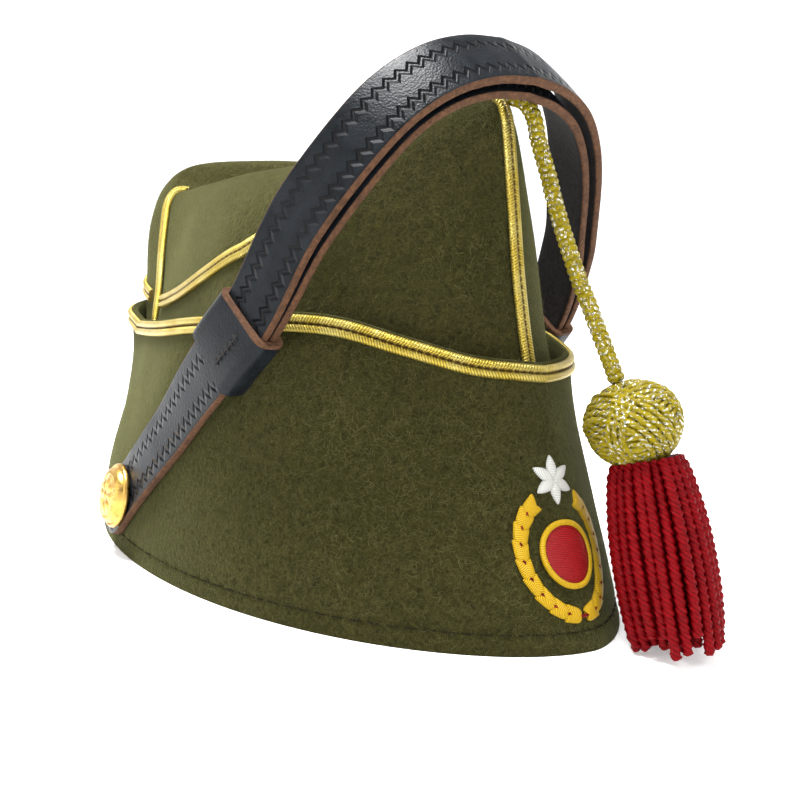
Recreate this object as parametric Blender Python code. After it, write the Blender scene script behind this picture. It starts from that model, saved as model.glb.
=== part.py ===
"""A felt side cap with a turned-up curtain, braided seams, a doubled leather chin strap and a tassel.

Metres, +Z up. The cap stands on its rim, its front looks along -Y and the wearer's right is at -X.
"""
from collections import namedtuple
from math import cos, pi, radians, sin

import bmesh
import bpy
from mathutils import Matrix, Vector

# Driving sizes of the felt body
RIM_LENGTH = 0.217
RIM_WIDTH = 0.137
FRONT_HEIGHT = 0.146
VALLEY_DEPTH = 0.016
CROWN_WALL = 0.0020
CURTAIN_WALL = 0.0022
CURTAIN_HEIGHT = 0.0745
CURTAIN_FLARE = 0.0024

# Driving sizes of the trim
BRAID_WIDTH = 0.0050
BRAID_THICKNESS = 0.0013
EDGE_BRAID_DROP = BRAID_WIDTH * 0.62
SEAM_BRAID_FOOT = BRAID_WIDTH * 0.35
DIAGONAL_BRAID_FOOT = BRAID_WIDTH * 0.80
STRAP_WIDTH = 0.0192
STRAP_THICKNESS = 0.0025
STRAP_LAYER_GAP = 0.0024
STRAP_REACH = 0.0615
STRAP_HEIGHT = 0.1532
ARCH_SHIFT = 0.0045
KEEPER_LENGTH = 0.0190
KEEPER_WALL = 0.0018
BUTTON_DIAMETER = 0.0205
BUTTON_DOME = 0.0046
BUTTON_SHANK = 0.0040
CORD_DIAMETER = 0.0046
KNOT_DIAMETER = 0.0270
KNOT_HEIGHT = 0.0245
FRINGE_LENGTH = 0.0500
FRINGE_WIDTH = 0.0265
FRINGE_LOCKS = 12
FRINGE_GROOVE = 0.90
BADGE_HEIGHT = 0.0430
BADGE_THICKNESS = 0.0011

# Clearances
TOUCH_GAP = 0.0004
FOLD_GAP = 0.0010
CORD_GAP = 0.0004
SLIDE_GAP = 0.0004

# Mesh steps
SIDE_STEPS = 25
ROWS_PER_SECTION = 2

CURTAIN_STACK = CURTAIN_WALL + FOLD_GAP
HALF_LENGTH = RIM_LENGTH / 2 - CURTAIN_STACK
HALF_WIDTH = RIM_WIDTH / 2 - CURTAIN_STACK

RIGHT = -1
LEFT = 1

# One row for each horizontal section of the crown, from the rim over the ridge into the valley.
# height: share of the ridge's height. drop: share of the valley's depth.
# width: share of HALF_WIDTH. front, rear: shares of HALF_LENGTH.
# shift, flat: the rear nose's shift and the right flank's flattening, shares of HALF_WIDTH.
# right_power, left_power: how sharp the front end is on each side; 1 is an ellipse, more is sharper.
# turn: radians from the rear nose round to the rear seam.
Section = namedtuple("Section", "height drop width front rear shift flat right_power left_power turn")
SECTIONS = [
    Section(0.000, 0.00, 1.000, 1.000, 1.000, 0.00, 0.00, 1.25, 1.20, 0.48),
    Section(0.140, 0.00, 0.972, 0.912, 1.000, 0.01, 0.01, 1.35, 1.20, 0.52),
    Section(0.300, 0.00, 0.925, 0.818, 0.992, 0.06, 0.08, 1.50, 1.25, 0.60),
    Section(0.500, 0.00, 0.850, 0.710, 0.985, 0.11, 0.16, 1.65, 1.22, 0.72),
    Section(0.660, 0.00, 0.780, 0.648, 0.997, 0.13, 0.18, 1.65, 1.24, 0.74),
    Section(0.800, 0.00, 0.705, 0.608, 0.995, 0.15, 0.17, 1.60, 1.27, 0.70),
    Section(0.900, 0.00, 0.625, 0.580, 0.965, 0.15, 0.14, 1.55, 1.30, 0.62),
    Section(0.965, 0.00, 0.540, 0.560, 0.915, 0.15, 0.10, 1.50, 1.35, 0.52),
    Section(1.000, 0.00, 0.440, 0.535, 0.845, 0.14, 0.06, 1.45, 1.35, 0.40),
    Section(1.000, 0.12, 0.350, 0.505, 0.745, 0.12, 0.03, 1.40, 1.35, 0.25),
    Section(1.000, 0.45, 0.250, 0.465, 0.675, 0.11, 0.01, 1.35, 1.30, 0.12),
    Section(1.000, 0.80, 0.140, 0.430, 0.620, 0.10, 0.00, 1.30, 1.30, 0.04),
    Section(1.000, 1.00, 0.000, 0.400, 0.580, 0.09, 0.00, 1.30, 1.30, 0.00),
]
# REAR_POWER: sharpness of the rear end, the same on both sides.
REAR_POWER = 1.15
RIDGE_ROW = 8
LAST_ROW = len(SECTIONS) - 1

# Height of each ridge and depth of the valley along the crown: 0 at the front seam, 1 at the rear seam.
# right, left: shares of FRONT_HEIGHT. depth: share of VALLEY_DEPTH.
Ridge = namedtuple("Ridge", "along right left depth")
RIDGES = [
    Ridge(0.00, 1.000, 1.000, 0.15),
    Ridge(0.10, 0.990, 0.990, 0.30),
    Ridge(0.22, 0.950, 0.955, 0.75),
    Ridge(0.36, 0.900, 0.910, 1.00),
    Ridge(0.52, 0.872, 0.893, 1.05),
    Ridge(0.68, 0.842, 0.888, 1.00),
    Ridge(0.82, 0.815, 0.868, 0.80),
    Ridge(0.92, 0.800, 0.825, 0.45),
    Ridge(1.00, 0.795, 0.795, 0.20),
]

# Height of the curtain's top edge along the cap, as a share of CURTAIN_HEIGHT.
Edge = namedtuple("Edge", "along right left")
CURTAIN_EDGE = [
    Edge(0.00, 1.010, 1.010),
    Edge(0.10, 1.018, 1.018),
    Edge(0.20, 1.032, 1.032),
    Edge(0.30, 1.080, 1.080),
    Edge(0.42, 1.137, 1.137),
    Edge(0.54, 1.125, 1.125),
    Edge(0.66, 1.080, 1.080),
    Edge(0.78, 1.012, 1.012),
    Edge(0.90, 0.964, 0.964),
    Edge(1.00, 0.935, 0.935),
]

# The diagonal braid's route on the side panel, from the rear junction to the ridge behind the strap.
# climb: share of the way from the curtain's edge to the ridge.
Climb = namedtuple("Climb", "along climb")
DIAGONAL = [
    Climb(0.958, 0.035),
    Climb(0.88, 0.050),
    Climb(0.80, 0.078),
    Climb(0.72, 0.140),
    Climb(0.65, 0.228),
    Climb(0.58, 0.305),
    Climb(0.51, 0.420),
    Climb(0.45, 0.600),
    Climb(0.405, 0.800),
    Climb(0.380, 0.960),
]

# Half of the strap's inner layer, from its tip past the button up to the middle of the arch.
# across: share of STRAP_REACH. back: share of RIM_LENGTH behind the middle of the rim.
# height: share of STRAP_HEIGHT. lean: degrees that the strap's width leans back from level.
# seat: 1 where the strap lies on the curtain, 0 where it stands free as an arch.
Way = namedtuple("Way", "across back height lean seat")
STRAP_WAY = [
    Way(1.060, 0.185, 0.069, 44, 1.0),
    Way(1.060, 0.150, 0.121, 44, 1.0),
    Way(1.060, 0.055, 0.262, 44, 1.0),
    Way(1.062, -0.023, 0.380, 44, 0.6),
    Way(1.052, -0.092, 0.472, 43, 0.1),
    Way(1.015, -0.145, 0.557, 42, 0.0),
    Way(0.935, -0.188, 0.682, 41, 0.0),
    Way(0.845, -0.213, 0.757, 40, 0.0),
    Way(0.705, -0.244, 0.852, 39, 0.0),
    Way(0.575, -0.262, 0.917, 38, 0.0),
    Way(0.410, -0.277, 0.965, 38, 0.0),
    Way(0.215, -0.285, 0.991, 38, 0.0),
    Way(0.000, -0.287, 1.000, 38, 0.0),
]
# Stations are counted from the tip. OVERRUN: how far a layer runs on past the other side's keeper.
# LAYER_SPREAD, LAYER_SETTLE: stations over which the outer layer lifts off and comes down again.
STRAP_STEPS = 36
BUTTON_STATION = 3
KEEPER_STATION = 13
OVERRUN = 2
LAYER_SPREAD = 8
LAYER_SETTLE = 5
ARCH_RISE = 0.35
TIP_SHARES = [0.45, 0.86, 0.99]

# The tassel cord's route in metres, from the top of the front seam down to the knot.
CORD_ROUTE = [
    (0.0032, -0.0565, 0.1488),
    (0.0044, -0.0616, 0.1471),
    (0.0052, -0.0648, 0.1428),
    (0.0056, -0.0664, 0.1375),
    (0.0059, -0.0686, 0.1323),
    (0.0061, -0.0709, 0.1273),
    (0.0062, -0.0730, 0.1221),
    (0.0063, -0.0753, 0.1170),
    (0.0065, -0.0776, 0.1120),
    (0.0069, -0.0800, 0.1070),
    (0.0073, -0.0824, 0.1020),
    (0.0079, -0.0848, 0.0970),
    (0.0087, -0.0874, 0.0921),
    (0.0094, -0.0898, 0.0871),
    (0.0102, -0.0922, 0.0822),
    (0.0111, -0.0945, 0.0772),
    (0.0120, -0.0968, 0.0722),
]
FRINGE_LEAN = (0.02, -0.32, -1.0)

# The badge on the curtain's front. ACROSS: metres round the cloth from the middle line, right is negative.
BADGE_ACROSS = -0.0035
BADGE_MIDDLE_HEIGHT = 0.0295
WREATH_RADIUS = 0.330
WREATH_TALL = 1.10
WREATH_LEAF = 0.165
WREATH_LEAVES = 9
WREATH_OPENING = 34
WREATH_DROP = -0.110
FIELD_RADIUS = 0.190
STAR_RADIUS = 0.150
STAR_RAYS = 6
STAR_RISE = 0.340

# Swell of the fringe from the knot to its tips: share of its length, share of FRINGE_WIDTH / 2.
Swell = namedtuple("Swell", "down radius")
FRINGE_SWELL = [
    Swell(0.00, 0.62),
    Swell(0.10, 0.82),
    Swell(0.35, 1.00),
    Swell(0.70, 1.00),
    Swell(0.92, 0.92),
    Swell(1.00, 0.84),
]


def table_value(table, key, column, at):
    """Read a column of a table smoothly between its rows: a cubic with slopes from the neighbours."""
    keys = [getattr(row, key) for row in table]
    values = [getattr(row, column) for row in table]
    return smooth_value(keys, values, at)


def smooth_value(keys, values, at):
    last = len(keys) - 1
    at = min(max(at, keys[0]), keys[last])
    cell = 0
    while cell < last - 1 and at > keys[cell + 1]:
        cell += 1

    def slope(i):
        low = max(i - 1, 0)
        high = min(i + 1, last)
        return (values[high] - values[low]) / (keys[high] - keys[low])

    span = keys[cell + 1] - keys[cell]
    t = (at - keys[cell]) / span
    start = values[cell] * (1 + 2 * t) * (1 - t) ** 2 + slope(cell) * span * t * (1 - t) ** 2
    end = values[cell + 1] * (3 - 2 * t) * t ** 2 - slope(cell + 1) * span * t ** 2 * (1 - t)
    return start + end


def section_value(column, row):
    return smooth_value(list(range(len(SECTIONS))), [getattr(s, column) for s in SECTIONS], row)


def crown_point(side, along, row):
    """Point of the crown's outer face: along runs from front seam to rear seam, row up the sections."""
    turn = along * (pi + side * section_value("turn", row))
    ahead = cos(turn) >= 0
    power = REAR_POWER
    if ahead:
        power = section_value("right_power" if side == RIGHT else "left_power", row)
    reach = section_value("front" if ahead else "rear", row) * HALF_LENGTH
    behind = max(0.0, -cos(turn))
    half = section_value("width", row) * HALF_WIDTH
    swing = abs(sin(turn)) ** power * (1 if sin(turn) >= 0 else -1)
    x = side * half * swing - section_value("shift", row) * HALF_WIDTH * behind ** 2
    if side == RIGHT and not ahead:
        x += section_value("flat", row) * HALF_WIDTH * sin(2 * turn) ** 2
    if side == LEFT and sin(turn) < 0:
        x += section_value("flat", row) * HALF_WIDTH * sin(2 * turn) ** 2
    y = -reach * cos(turn)
    ridge = FRONT_HEIGHT * table_value(RIDGES, "along", "right" if side == RIGHT else "left", along)
    depth = VALLEY_DEPTH * table_value(RIDGES, "along", "depth", along)
    z = ridge * section_value("height", row) - depth * section_value("drop", row)
    if row > RIDGE_ROW:
        other = FRONT_HEIGHT * table_value(RIDGES, "along", "left" if side == RIGHT else "right", along)
        z += (other - ridge) / 2 * section_value("drop", row)
    return Vector((x, y, z))


def crown_outward(side, along, row):
    """Unit normal of the crown's outer face."""
    step = 0.01
    low = max(along - step, 0.0)
    high = min(along + step, 1.0)
    run = crown_point(side, high, row) - crown_point(side, low, row)
    if along < step:
        run = crown_point(LEFT, step, row) - crown_point(RIGHT, step, row)
        run *= side
    if along > 1 - step:
        run = crown_point(RIGHT, 1 - step, row) - crown_point(LEFT, 1 - step, row)
        run *= side
    climb = crown_point(side, along, row + 0.05) - crown_point(side, along, max(row - 0.05, 0))
    return (run.cross(climb) * side).normalized()


def row_at_height(side, along, height):
    """Section row at which the wall reaches a height."""
    low = 0.0
    high = float(RIDGE_ROW)
    for _ in range(30):
        middle = (low + high) / 2
        if crown_point(side, along, middle).z < height:
            low = middle
        else:
            high = middle
    return low


def curtain_height(side, along):
    return CURTAIN_HEIGHT * table_value(CURTAIN_EDGE, "along", "right" if side == RIGHT else "left", along)


def curtain_point(side, along, share, depth):
    """Point in the curtain: share up from the rim, depth 0 on the inner and 1 on the outer face."""
    height = share * curtain_height(side, along)
    row = row_at_height(side, along, height)
    outward = crown_outward(side, along, row)
    level = Vector((outward.x, outward.y, 0)).normalized()
    stand = FOLD_GAP + CURTAIN_FLARE * share ** 2 + CURTAIN_WALL * depth
    point = crown_point(side, along, row) + level * stand
    point.z = height
    return point


def loop_stations():
    """Stations once round the cap: right side front to rear, then left side rear to front."""
    right = [(RIGHT, i / SIDE_STEPS) for i in range(SIDE_STEPS + 1)]
    left = [(LEFT, i / SIDE_STEPS) for i in range(SIDE_STEPS - 1, 0, -1)]
    return right + left


def new_material(name, colour, roughness, metallic=0.0):
    material = bpy.data.materials.new(name)
    material.use_nodes = True
    shader = material.node_tree.nodes["Principled BSDF"]
    shader.inputs["Base Color"].default_value = (*colour, 1)
    shader.inputs["Roughness"].default_value = roughness
    shader.inputs["Metallic"].default_value = metallic
    return material


def new_object(name, mesh_builder, material, sharp_degrees=40):
    """Close a bmesh into a named object with its faces pointing out."""
    bmesh.ops.remove_doubles(mesh_builder, verts=mesh_builder.verts, dist=1e-6)
    bmesh.ops.recalc_face_normals(mesh_builder, faces=mesh_builder.faces)
    mesh = bpy.data.meshes.new(name)
    mesh_builder.to_mesh(mesh)
    mesh_builder.free()
    mesh.shade_smooth()
    mesh.set_sharp_from_angle(angle=radians(sharp_degrees))
    mesh.materials.append(material)
    piece = bpy.data.objects.new(name, mesh)
    bpy.context.scene.collection.objects.link(piece)
    return piece


def loft(mesh_builder, rings, closed=False):
    """Skin a run of rings that have equal counts of points."""
    rows = [[mesh_builder.verts.new(point) for point in ring] for ring in rings]
    count = len(rows[0])
    pairs = list(zip(rows, rows[1:]))
    if closed:
        pairs.append((rows[-1], rows[0]))
    for low, high in pairs:
        for i in range(count):
            j = (i + 1) % count
            mesh_builder.faces.new((low[i], low[j], high[j], high[i]))
    if not closed:
        mesh_builder.faces.new(rows[0][::-1])
        mesh_builder.faces.new(rows[-1])
    return rows


def build_crown(felt):
    """Felt shell: the outer face is skinned up the sections and over into the valley, then given its wall."""
    shell = bmesh.new()
    stations = loop_stations()
    rows = []
    for k in range(LAST_ROW * ROWS_PER_SECTION + 1):
        row = k / ROWS_PER_SECTION
        rows.append([shell.verts.new(crown_point(side, along, row)) for side, along in stations])
    for low, high in zip(rows, rows[1:]):
        for i in range(len(stations)):
            j = (i + 1) % len(stations)
            shell.faces.new((low[i], low[j], high[j], high[i]))
    bmesh.ops.remove_doubles(shell, verts=shell.verts, dist=1e-6)
    bmesh.ops.recalc_face_normals(shell, faces=shell.faces)
    outer = list(shell.faces)
    up = sum(face.normal.z * face.calc_area() for face in outer)
    if up < 0:
        bmesh.ops.reverse_faces(shell, faces=outer)
    bmesh.ops.solidify(shell, geom=outer, thickness=CROWN_WALL)
    for vert in shell.verts:
        if vert.co.z < CROWN_WALL / 2:
            vert.co.z = 0.0
    return new_object("crown", shell, felt)


def build_curtain(felt):
    """Felt band round the crown: close at the rim, a little proud of it at the top edge."""
    band = bmesh.new()
    profile = [(share, 1.0) for share in (0.0, 0.2, 0.4, 0.6, 0.8, 1.0)]
    profile += [(share, 0.0) for share in (1.0, 0.8, 0.6, 0.4, 0.2, 0.0)]
    rings = []
    for side, along in loop_stations():
        rings.append([curtain_point(side, along, share, depth) for share, depth in profile])
    loft(band, rings, closed=True)
    return new_object("curtain", band, felt)


def braid_ring(centre, outward, along_edge):
    """Braid section: flat back and two rounded cords with a channel between them."""
    across = outward.cross(along_edge).normalized()
    lift = along_edge.cross(across).normalized()
    if lift.dot(outward) < 0:
        lift = -lift
    half = BRAID_WIDTH / 2
    shape = [(-1.0, 0.0), (-1.0, 0.55), (-0.55, 1.0), (0.0, 0.55), (0.55, 1.0), (1.0, 0.55), (1.0, 0.0)]
    return [centre + across * half * u + lift * BRAID_THICKNESS * v for u, v in shape]


def build_braid(name, route, gold, closed=False):
    """Sweep the braid's section along a route of (point, outward) pairs."""
    body = bmesh.new()
    count = len(route)
    rings = []
    for i, (point, outward) in enumerate(route):
        if closed:
            before = route[i - 1][0]
            after = route[(i + 1) % count][0]
        else:
            before = route[max(i - 1, 0)][0]
            after = route[min(i + 1, count - 1)][0]
        rings.append(braid_ring(point + outward * TOUCH_GAP, outward, (after - before).normalized()))
    loft(body, rings, closed=closed)
    return new_object(name, body, gold, sharp_degrees=60)


def curtain_braid_route():
    """Route on the curtain's outer face, half a braid below its top edge."""
    route = []
    for side, along in loop_stations():
        share = 1 - EDGE_BRAID_DROP / curtain_height(side, along)
        here = curtain_point(side, along, share, 1.0)
        below = curtain_point(side, along, share - 0.08, 1.0)
        ahead = min(along + 0.02, 1.0)
        behind = max(along - 0.02, 0.0)
        run = curtain_point(side, ahead, share, 1.0) - curtain_point(side, behind, share, 1.0)
        if along in (0, 1):
            inside = 0.98 if along else 0.02
            run = curtain_point(LEFT, inside, share, 1.0) - curtain_point(RIGHT, inside, share, 1.0)
        outward = run.cross(here - below).normalized()
        if outward.dot(Vector((here.x, here.y, 0))) < 0:
            outward = -outward
        route.append((here, outward))
    return route


def crown_route(spots):
    """Route on the crown's outer face through (side, along, row) spots."""
    return [(crown_point(*spot), crown_outward(*spot)) for spot in spots]


def seam_route(along):
    """Up a seam, from just above the curtain's edge over the ridge."""
    start = row_at_height(RIGHT, along, curtain_height(RIGHT, along) + SEAM_BRAID_FOOT)
    steps = 14
    top = RIDGE_ROW - 0.1
    return crown_route([(RIGHT, along, start + (top - start) * k / steps) for k in range(steps + 1)])


def diagonal_route(side):
    """From beside the rear seam, clear of its braid, forward and up the side panel."""
    spots = []
    steps = 26
    keys = [k / (len(DIAGONAL) - 1) for k in range(len(DIAGONAL))]
    for k in range(steps + 1):
        along = smooth_value(keys, [row.along for row in DIAGONAL], k / steps)
        climb = smooth_value(keys, [row.climb for row in DIAGONAL], k / steps)
        start = row_at_height(side, along, curtain_height(side, along) + DIAGONAL_BRAID_FOOT)
        spots.append((side, along, start + (RIDGE_ROW - 0.2 - start) * climb))
    return crown_route(spots)


def way_value(column, t):
    keys = [k / (len(STRAP_WAY) - 1) for k in range(len(STRAP_WAY))]
    return smooth_value(keys, [getattr(row, column) for row in STRAP_WAY], t)


def curtain_seat(side, back, height):
    """Point and normal on the curtain's outer face at a distance behind the rim's middle and a height."""
    low = 0.1
    high = 0.95
    for _ in range(24):
        along = (low + high) / 2
        if curtain_point(side, along, height / curtain_height(side, along), 1.0).y < back:
            low = along
        else:
            high = along
    row = row_at_height(side, low, height)
    point = curtain_point(side, low, height / curtain_height(side, low), 1.0)
    return point, crown_outward(side, low, row)


def arch_share(t):
    """0 on the leg below the keeper, rising smoothly to 1 over the arch."""
    part = min(max((t - KEEPER_STATION / STRAP_STEPS) / ARCH_RISE, 0.0), 1.0)
    return part * part * (3 - 2 * part)


def strap_centre(side, t):
    """Middle of the strap's inner layer: on the curtain below, free in the arch above."""
    back = way_value("back", t) * RIM_LENGTH
    height = way_value("height", t) * STRAP_HEIGHT
    across = side * way_value("across", t) * STRAP_REACH
    free = Vector((across - ARCH_SHIFT * arch_share(t), back, height))
    seat = min(max(way_value("seat", t), 0.0), 1.0)
    if seat == 0.0:
        return free
    point, outward = curtain_seat(side, back, height)
    return free.lerp(point + outward * (TOUCH_GAP + STRAP_THICKNESS / 2), seat)


def strap_frames(side):
    """Centre, width and face directions at even stations along half of the strap."""
    frames = []
    for k in range(STRAP_STEPS + 1):
        t = k / STRAP_STEPS
        centre = strap_centre(side, t)
        ahead = strap_centre(side, min(t + 0.01, 1.0))
        behind = strap_centre(side, max(t - 0.01, 0.0))
        tangent = (ahead - behind).normalized()
        if k == STRAP_STEPS:
            tangent = Vector((-side, 0, 0))
        lean = radians(way_value("lean", t))
        width = Vector((0, cos(lean), sin(lean)))
        face = width.cross(tangent).normalized() * side
        seat = min(max(way_value("seat", t), 0.0), 1.0)
        if seat > 0.0:
            outward = curtain_seat(side, centre.y, centre.z)[1]
            face = face.lerp(outward, seat)
            face = (face - tangent * face.dot(tangent)).normalized()
        width = tangent.cross(face).normalized()
        if width.y < 0:
            width = -width
        frames.append((centre, width, face))
    return frames


def strap_corners(frame, lift, half_width, half_thickness):
    centre, width, face = frame
    middle = centre + face * lift
    across = width * half_width
    through = face * half_thickness
    return [middle - across - through, middle + across - through, middle + across + through,
            middle - across + through]


def layer_lift(station, rides):
    """Lift of the outer layer off the inner one: close in the keeper, wider in the arch, none below."""
    close = STRAP_THICKNESS + SLIDE_GAP
    if station >= KEEPER_STATION:
        part = min((station - KEEPER_STATION) / LAYER_SPREAD, 1.0)
        smooth = part * part * (3 - 2 * part)
        return close + (STRAP_LAYER_GAP - SLIDE_GAP) * smooth
    if not rides:
        return close
    part = min(max((KEEPER_STATION - OVERRUN - station) / LAYER_SETTLE, 0.0), 1.0)
    return close * (1 - part * part * (3 - 2 * part))


def tip_half_width(station):
    """Half width of the strap near its rounded tip."""
    return STRAP_WIDTH / 2 * (TIP_SHARES[station] if station < len(TIP_SHARES) else 1.0)


def build_strap(name, own_side, outer, leather):
    """One part of the strap: from its own button over the arch into the other side's keeper."""
    own = strap_frames(own_side)
    other = strap_frames(-own_side)
    body = bmesh.new()
    rings = []
    for k, frame in enumerate(own):
        lift = layer_lift(k, True) if outer else 0.0
        rings.append(strap_corners(frame, lift, tip_half_width(k), STRAP_THICKNESS / 2))
    for k in range(STRAP_STEPS - 1, KEEPER_STATION - OVERRUN - 1, -1):
        lift = layer_lift(k, False) if outer else 0.0
        rings.append(strap_corners(other[k], lift, STRAP_WIDTH / 2, STRAP_THICKNESS / 2))
    loft(body, rings)
    strap = new_object(name, body, leather)
    add_button_hole(strap, own[BUTTON_STATION])
    return strap


def add_button_hole(strap, frame):
    """Hole in the strap for the button's shank."""
    centre, _, face = frame
    cutter_mesh = bmesh.new()
    bmesh.ops.create_cone(cutter_mesh, cap_ends=True, segments=12, radius1=BUTTON_SHANK / 2 + TOUCH_GAP,
                          radius2=BUTTON_SHANK / 2 + TOUCH_GAP, depth=STRAP_THICKNESS * 4)
    cutter_mesh.transform(turned_to(centre, face))
    mesh = bpy.data.meshes.new(strap.name + "_hole")
    cutter_mesh.to_mesh(mesh)
    cutter_mesh.free()
    cutter = bpy.data.objects.new(strap.name + "_hole", mesh)
    bpy.context.scene.collection.objects.link(cutter)
    cutter.hide_render = True
    cutter.display_type = "WIRE"
    cut = strap.modifiers.new("button hole", "BOOLEAN")
    cut.object = cutter
    cut.operation = "DIFFERENCE"


def turned_to(place, direction):
    """Matrix that turns +Z to a direction and moves the origin to a place."""
    return Matrix.Translation(place) @ direction.to_track_quat("Z", "Y").to_matrix().to_4x4()


def build_keeper(name, side, leather):
    """Leather loop round both layers, swept along the strap so that it follows its bend."""
    frames = strap_frames(side)
    reach = KEEPER_LENGTH / 2
    middle = frames[KEEPER_STATION][0]
    spread = [i for i, frame in enumerate(frames) if (frame[0] - middle).length <= reach]
    lift = (STRAP_THICKNESS + SLIDE_GAP) / 2
    half_thickness = STRAP_THICKNESS + SLIDE_GAP * 1.5
    half_width = STRAP_WIDTH / 2 + SLIDE_GAP
    outer = []
    inner = []
    for i in spread:
        inner.append(strap_corners(frames[i], lift, half_width, half_thickness))
        outer.append(strap_corners(frames[i], lift, half_width + KEEPER_WALL, half_thickness + KEEPER_WALL))
    body = bmesh.new()
    loft(body, outer + inner[::-1], closed=True)
    return new_object(name, body, leather)


def build_button(name, side, brass):
    """Domed button with a rolled rim, and the shank that pins the strap to the curtain."""
    centre, _, face = strap_frames(side)[BUTTON_STATION]
    radius = BUTTON_DIAMETER / 2
    seat = STRAP_THICKNESS / 2 + TOUCH_GAP
    foot = -STRAP_THICKNESS / 2
    profile = [
        (0.0, foot), (BUTTON_SHANK / 2, foot), (BUTTON_SHANK / 2, seat), (radius * 0.94, seat),
        (radius, seat + 0.0006), (radius, seat + 0.0013), (radius * 0.93, seat + 0.0018),
        (radius * 0.86, seat + 0.0016), (radius * 0.72, seat + BUTTON_DOME * 0.66),
        (radius * 0.45, seat + BUTTON_DOME * 0.90), (0.0, seat + BUTTON_DOME),
    ]
    body = bmesh.new()
    verts = [body.verts.new((r, 0, z)) for r, z in profile]
    edges = [body.edges.new(pair) for pair in zip(verts, verts[1:])]
    bmesh.ops.spin(body, geom=verts + edges, cent=(0, 0, 0), axis=(0, 0, 1), angle=2 * pi, steps=24,
                   use_merge=True)
    body.transform(turned_to(centre, face))
    return new_object(name, body, brass, sharp_degrees=35)


def build_cord(gold):
    """Tube along the tassel cord's route."""
    curve = bpy.data.curves.new("tassel_cord", "CURVE")
    curve.dimensions = "3D"
    curve.bevel_depth = CORD_DIAMETER / 2
    curve.bevel_resolution = 2
    curve.use_fill_caps = True
    spline = curve.splines.new("POLY")
    spline.points.add(len(CORD_ROUTE) - 1)
    for point, place in zip(spline.points, CORD_ROUTE):
        point.co = (*place, 1)
    curve.materials.append(gold)
    cord = bpy.data.objects.new("tassel_cord", curve)
    bpy.context.scene.collection.objects.link(cord)
    return cord


def knot_frame():
    """Centre of the knot and the direction in which it hangs from the cord."""
    end = Vector(CORD_ROUTE[-1])
    down = (end - Vector(CORD_ROUTE[-2])).normalized()
    return end + down * (KNOT_HEIGHT / 2 + CORD_GAP), down


def build_knot(gold):
    """Wound ball, a little flatter along the cord than across it."""
    centre, down = knot_frame()
    body = bmesh.new()
    bmesh.ops.create_uvsphere(body, u_segments=18, v_segments=12, radius=KNOT_DIAMETER / 2)
    body.transform(Matrix.Diagonal((1, 1, KNOT_HEIGHT / KNOT_DIAMETER, 1)))
    body.transform(turned_to(centre, down))
    return new_object("tassel_knot", body, gold, sharp_degrees=60)


def build_fringe(red):
    """Bundle of hanging locks fused into one body, with its tips on the floor."""
    centre, down = knot_frame()
    lean = Vector(FRINGE_LEAN).normalized()
    top = centre + down * (KNOT_HEIGHT / 2 + CORD_GAP)
    side = lean.cross(Vector((0, 1, 0))).normalized()
    front = side.cross(lean).normalized()
    count = FRINGE_LOCKS * 4
    rings = []
    for swell in FRINGE_SWELL:
        middle = top + lean * (FRINGE_LENGTH * swell.down)
        ring = []
        for k in range(count):
            angle = 2 * pi * k / count
            lock = 1.0 if k % 4 in (1, 2) else FRINGE_GROOVE
            radius = FRINGE_WIDTH / 2 * swell.radius * lock
            point = middle + (side * cos(angle) + front * sin(angle)) * radius
            point.z = max(point.z, TOUCH_GAP)
            ring.append(point)
        rings.append(ring)
    body = bmesh.new()
    loft(body, rings)
    return new_object("tassel_fringe", body, red, sharp_degrees=60)


def front_surface(across, height, proud):
    """Point on the curtain's front: across is measured round the cloth from the middle line."""
    side = LEFT if across > 0 else RIGHT
    goal = abs(across)
    low = 0.0
    high = 0.45
    start = curtain_point(side, 0.0, height / CURTAIN_HEIGHT, 1.0)
    for _ in range(22):
        along = (low + high) / 2
        point = curtain_point(side, along, height / curtain_height(side, along), 1.0)
        if (point - start).length < goal:
            low = along
        else:
            high = along
    point = curtain_point(side, low, height / curtain_height(side, low), 1.0)
    outward = crown_outward(side, low, row_at_height(side, low, height))
    return point + outward * (TOUCH_GAP + proud)


def badge_place(u, w, proud):
    """Place of a badge point: u across and w up from the badge's centre."""
    return front_surface(BADGE_ACROSS + u, BADGE_MIDDLE_HEIGHT + w, proud)


def build_badge_piece(name, outline, centre, thread):
    """Flat badge piece laid on the cloth, skinned from a small ring at its back over its edge to its face."""
    middle_u = centre[0]
    middle_w = centre[1]
    body = bmesh.new()
    rings = []
    for size, depth in ((0.15, 0.0), (0.6, 0.0), (1.0, 0.0), (0.97, 0.7), (0.6, 1.0), (0.15, 1.0)):
        rings.append([badge_place(middle_u + u * size, middle_w + w * size, BADGE_THICKNESS * depth)
                      for u, w in outline])
    loft(body, rings)
    return new_object(name, body, thread, sharp_degrees=50)


def build_wreath(thread):
    """Open wreath of leaves: a band bent round the badge, its width swelling once for each leaf."""
    outer = BADGE_HEIGHT * WREATH_RADIUS
    leaf = BADGE_HEIGHT * WREATH_LEAF
    body = bmesh.new()
    rings = []
    steps = WREATH_LEAVES * 4
    for k in range(steps + 1):
        angle = radians(WREATH_OPENING) + (2 * pi - 2 * radians(WREATH_OPENING)) * k / steps
        swell = leaf * (0.30 + 0.70 * abs(sin(pi * k / 4))) / 2
        ring = []
        for radius, depth in ((outer - swell, 0.0), (outer + swell, 0.0), (outer + swell * 0.8, 0.8),
                              (outer - swell * 0.8, 0.8)):
            u = radius * sin(angle)
            w = radius * cos(angle) * WREATH_TALL + BADGE_HEIGHT * WREATH_DROP
            ring.append(badge_place(u, w, BADGE_THICKNESS * depth))
        rings.append(ring)
    loft(body, rings)
    return new_object("badge_wreath", body, thread, sharp_degrees=50)


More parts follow.
